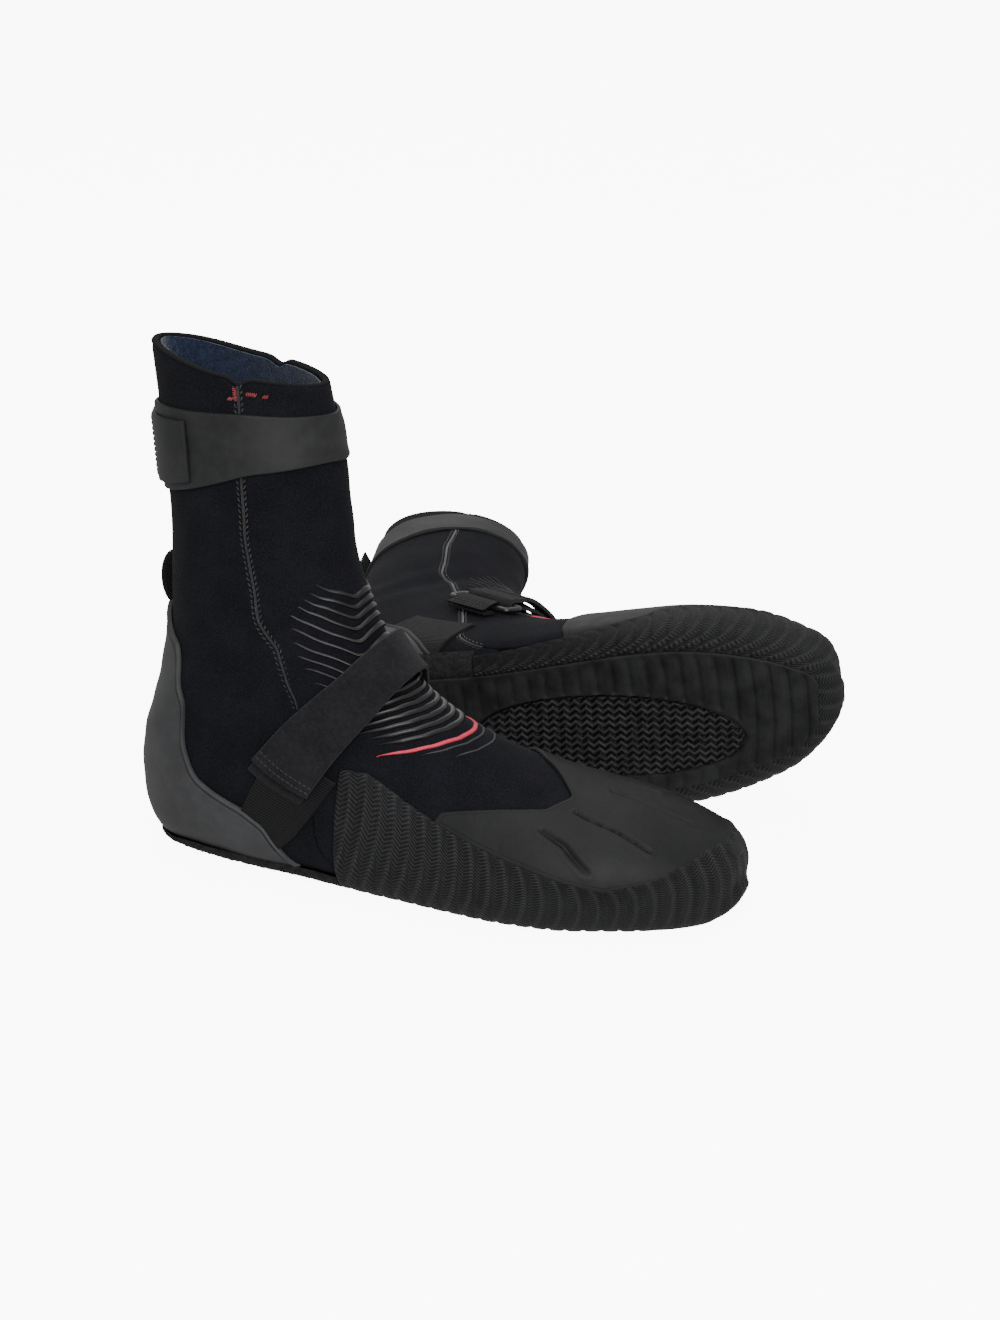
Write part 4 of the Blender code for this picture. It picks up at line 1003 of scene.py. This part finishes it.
def arc(ct, cn, rad, a0, a1, n):
    """n places round a centre, from angle a0 to a1."""
    return [(ct + rad * math.cos(math.radians(x)), cn + rad * math.sin(math.radians(x)))
            for x in np.linspace(a0, a1, n)]


def ribbon(path, half, count, thickness, rim=.5, rows=19):
    """Strip bent along (t, n) places by the ring, half millimetres either side."""
    q = fair(path, count)
    d = unit(np.gradient(q, axis=0))
    pts = np.array([local(t, n) for t, n in q])
    nrm = np.array([N0 * b - T0 * c for c, b in zip(d[:, 1], d[:, 0])])
    p, n = bent(pts, nrm, np.tile(W0 * half, (count, 1)), rows)
    return thick(p, n, thickness / 2, -thickness / 2, rim)


loop = [(-15.0, 2.5), (-11.5, 2.1)] + arc(-RING_T, RING_N, 2.7, -80, 88, 7)
loop += [(-10.0, 6.4), (-13.0, 5.2), (-16.5, 4.3)]
fit("medial_webbing_loop", ribbon(loop, 12.5, 90, 1.2), WEB, stands_for=["medial_webbing_loop"])
ang = np.linspace(262, 322, 60)[:, None]
lo, hi = 8.93 + 0 * ang, np.interp(ang, [262, 300, 322], [10.35, 10.3, 10.2])
fit("medial_webbing", anchor(ang, lo, hi), WEB, stands_for=["medial_webbing"])
rows = []
for t in (-12.2, -14.6):
    w = np.linspace(-11, 11, 40)
    n_at = float(np.interp(-t, [10.0, 13.0, 16.5], [6.4, 5.2, 4.3]))
    p = np.array([local(t, n_at + .62, x) for x in w])
    rows.append(stitches(p, np.tile(N0, (40, 1)), np.tile(W0, (40, 1)), 2.4, 1.8, .3, 0, 0, .06, 12))
fit("webbing_stitches", joined(*rows), THREAD)

# ---- ring --------------------------------------------------------------------
# A moulded black plastic rectangle joins the inner webbing to the strap, which is folded through it.
plastic = Finish("black_plastic", Specular_IOR_Level=.55)
scuff, grain = plastic.clouds((4.0, 4.0), (.35, 2.0))
PLASTIC = plastic.wear(plastic.blend(scuff, (.0028, .0028, .0032), (.0085, .0085, .0095)), .26 + scuff * .2,
                       grain, .05)
path, corner, half_w, bar = [], 2.6, 19.5, (1.6, 1.5)
for ct, cw, a0 in ((RING_T - corner, half_w - corner, 0), (-RING_T + corner, half_w - corner, 90),
                   (-RING_T + corner, -half_w + corner, 180), (RING_T - corner, -half_w + corner, 270)):
    path += arc(ct, cw, corner, a0, a0 + 90, 8)
v, m, sec = [], len(path), 14
for i, (t, w) in enumerate(path):
    (ta, wa), (tb, wb) = path[i - 1], path[(i + 1) % m]
    size = math.hypot(tb - ta, wb - wa)
    nt, nw = (wb - wa) / size, -(tb - ta) / size
    for k in range(sec):
        x = 2 * math.pi * k / sec
        cx = abs(math.cos(x)) ** .7 * math.copysign(1, math.cos(x)) * bar[0]
        sx = abs(math.sin(x)) ** .7 * math.copysign(1, math.sin(x)) * bar[1]
        v.append(local(t + nt * cx, RING_N + sx, w + nw * cx))
f = [(i * sec + k, i * sec + (k + 1) % sec, ((i + 1) % m) * sec + (k + 1) % sec, ((i + 1) % m) * sec + k)
     for i in range(m) for k in range(sec)]
fit("ring", (np.array(v), f, np.zeros((len(v), 3))), PLASTIC, stands_for=["ring"])

# ---- instep strap ------------------------------------------------------------
# A 38 mm strap of brushed loop cloth over thin foam runs from the outer webbing over the instep, round the
# ring, and back over itself to a hemmed end held by hook tape.
felt = Finish("brushed_loop_edge_highlight", Sheen_Weight=.05, Sheen_Roughness=.5, Specular_IOR_Level=.08)
edge = felt.from_edge()
fuzz, clump, cloud = felt.clouds((.5, 4.0, .75), (2.2, 3.0), (14.0, 2.0))
nap = (fuzz * .5 + clump * .25 + cloud * .25).step(.34, .68)
tone = felt.blend(nap, (.0074, .0074, .0085), (.0205, .0205, .0230))
# Painted highlight: the strap's cloth is coloured lighter within about .7 mm of every edge.
tone = felt.blend((1 - edge.step(.15, .7)) * .75, tone, (.026, .0264, .028))
FELT_EDGE_HIGHLIGHT = felt.wear(tone, .86 + fuzz * .1, fuzz + clump * .6, .5)
STRAP_A = [60, 97, 118, 142, 180, 215, 250]
STRAP_LO = [9.5, 9.4, 9.3, 9.1, 9.0, 8.95, 8.95]
STRAP_HI = [11.1, 11.0, 10.9, 10.55, 10.4, 10.3, 10.3]


def strap_rows(ang, cols, trim=0.0):
    """Rows across the strap's width at each angle, trim rows in from both edges."""
    fine = np.linspace(60, 250, 400)
    lo, hi = (eased(np.interp(fine, STRAP_A, q), 10) for q in (STRAP_LO, STRAP_HI))
    lo, hi = np.interp(ang, fine, lo) + trim, np.interp(ang, fine, hi) - trim
    return lo[:, None] + (hi - lo)[:, None] * crowded(cols, .6)[None, :]


ang = np.linspace(99, 226, 110)
r = strap_rows(ang, 36, .07)
a = ang[:, None] + 0 * r
swell = 1.6 * smooth((ang - 196) / 12) * (1 - .35 * smooth((ang - 218) / 8))
swell = swell[:, None] * np.sin(np.pi * np.linspace(0, 1, 36))[None, :] ** .5
fit("strap_base", laid(r, a, 3.7 + swell * 0.35, 2.0, 1.0), FELT_EDGE_HIGHLIGHT, stands_for=["strap_base"])
turn = [(13.0, 2.6), (9.5, 2.1)] + arc(RING_T, RING_N, 2.9, -100, -268, 8)
turn += [(9.0, 7.3), (12.0, 7.0), (15.8, 7.1)]
fit("strap_fold", ribbon(turn, 15.0, 110, 1.9, .6, 27), FELT_EDGE_HIGHLIGHT, stands_for=["strap_fold"])

FLAP_LIFT, FLAP_COLS = 6.05, 44
ang = np.linspace(102.4, 203, 150)
r = strap_rows(ang, FLAP_COLS)
over = surface(r, ang[:, None] + 0 * r) + normal(r, ang[:, None] + 0 * r) * FLAP_LIFT
widths = (crowded(FLAP_COLS, .6) * 2 - 1) * 15.2
end = np.stack([local(16.2, 7.1, w) for w in widths])
way = end - np.stack([local(22.0, 8.0, w) for w in widths])
k = np.linspace(0, 1, 26)[1:, None, None]
m0, m1 = (over[-1] - over[-4]) / 3 * 24, unit(way) * 14
bridge = ((2 * k ** 3 - 3 * k ** 2 + 1) * over[-1] + (k ** 3 - 2 * k ** 2 + k) * m0
          + (-2 * k ** 3 + 3 * k ** 2) * end + (k ** 3 - k ** 2) * m1)
flap = np.concatenate([over, bridge])
flap = np.stack([np.stack([eased(flap[:, j, c], 4) for j in range(FLAP_COLS)], 1) for c in range(3)], -1)
fn = unit(np.cross(np.gradient(flap, axis=0), np.gradient(flap, axis=1)))
fn *= np.sign((fn[40, 22] * normal(10.0, 130.0)).sum())
fit("strap_flap", thick(flap, fn, 1.05, -1.0, .9), FELT_EDGE_HIGHLIGHT, "strap_end", ["strap_flap"])
hem = []
for i in (4, 7):
    hem.append(stitches(flap[i] + fn[i] * 1.02, fn[i], fn[i], 2.6, 1.9, .28, 0, 0, .08, 21 + i))
fit("strap_hem_stitches", joined(*hem), THREAD, "strap_end")

# ---- floor, light and camera -------------------------------------------------
# A plain pale sheet lies under the boots. It glows by itself and is hidden from light that bounces off
# them, so that only the three soft lamps and the even sky light them. The view is from 20 degrees above.
FAR = 240
FLOOR_GLOW = 9.0
bpy.ops.mesh.primitive_plane_add(size=FAR, location=(0, 0, 0))
ground = bpy.context.object
ground.name = "studio_floor"
paper = Finish("pale_paper", Specular_IOR_Level=.2)
paper.shader.inputs["Emission Color"].default_value = (1, 1, 1, 1)
paper.shader.inputs["Emission Strength"].default_value = FLOOR_GLOW
PAPER = paper.wear(paper.blend(paper.noise(paper.spot(), 400.0), (.86, .86, .865), (.90, .90, .905)), .9)
ground.data.materials.append(PAPER)
ground.visible_diffuse = ground.visible_glossy = False
world = bpy.data.worlds.new("studio")
bpy.context.scene.world = world
world.use_nodes = True
world.node_tree.nodes["Background"].inputs[0].default_value = (1.0, 1.0, 1.0, 1)
world.node_tree.nodes["Background"].inputs[1].default_value = .75
for name, where, aim, size, power in (("overhead", (.1, -.1, 1.9), (.05, .1, 0), 1.6, 12),
                                      ("front", (.9, -1.5, 1.1), (.05, 0, .1), 1.2, 30),
                                      ("behind", (-.8, 1.5, 1.3), (0, .15, .1), 1.2, 6)):
    lamp = bpy.data.lights.new(name, "AREA")
    lamp.energy, lamp.size, lamp.shape = power, size, "DISK"
    ob = bpy.data.objects.new(name, lamp)
    bpy.context.scene.collection.objects.link(ob)
    ob.location = where
    ob.rotation_euler = (Vector(aim) - Vector(where)).to_track_quat("-Z", "Y").to_euler()
cam = bpy.data.cameras.new("view")
cam.lens, cam.sensor_width, cam.sensor_fit = 92.5, 36.0, "HORIZONTAL"
cam.clip_end = FAR
eye = bpy.data.objects.new("view", cam)
bpy.context.scene.collection.objects.link(eye)
target, distance = Vector((.0682, .0174, .107)), 1.2
azimuth, elevation = math.radians(21.4), math.radians(20.1)
level = math.cos(elevation)
back = Vector((math.sin(azimuth) * level, -math.cos(azimuth) * level, math.sin(elevation)))
eye.location = target + back * distance
eye.rotation_euler = back.to_track_quat("Z", "Y").to_euler()
bpy.context.scene.camera = eye
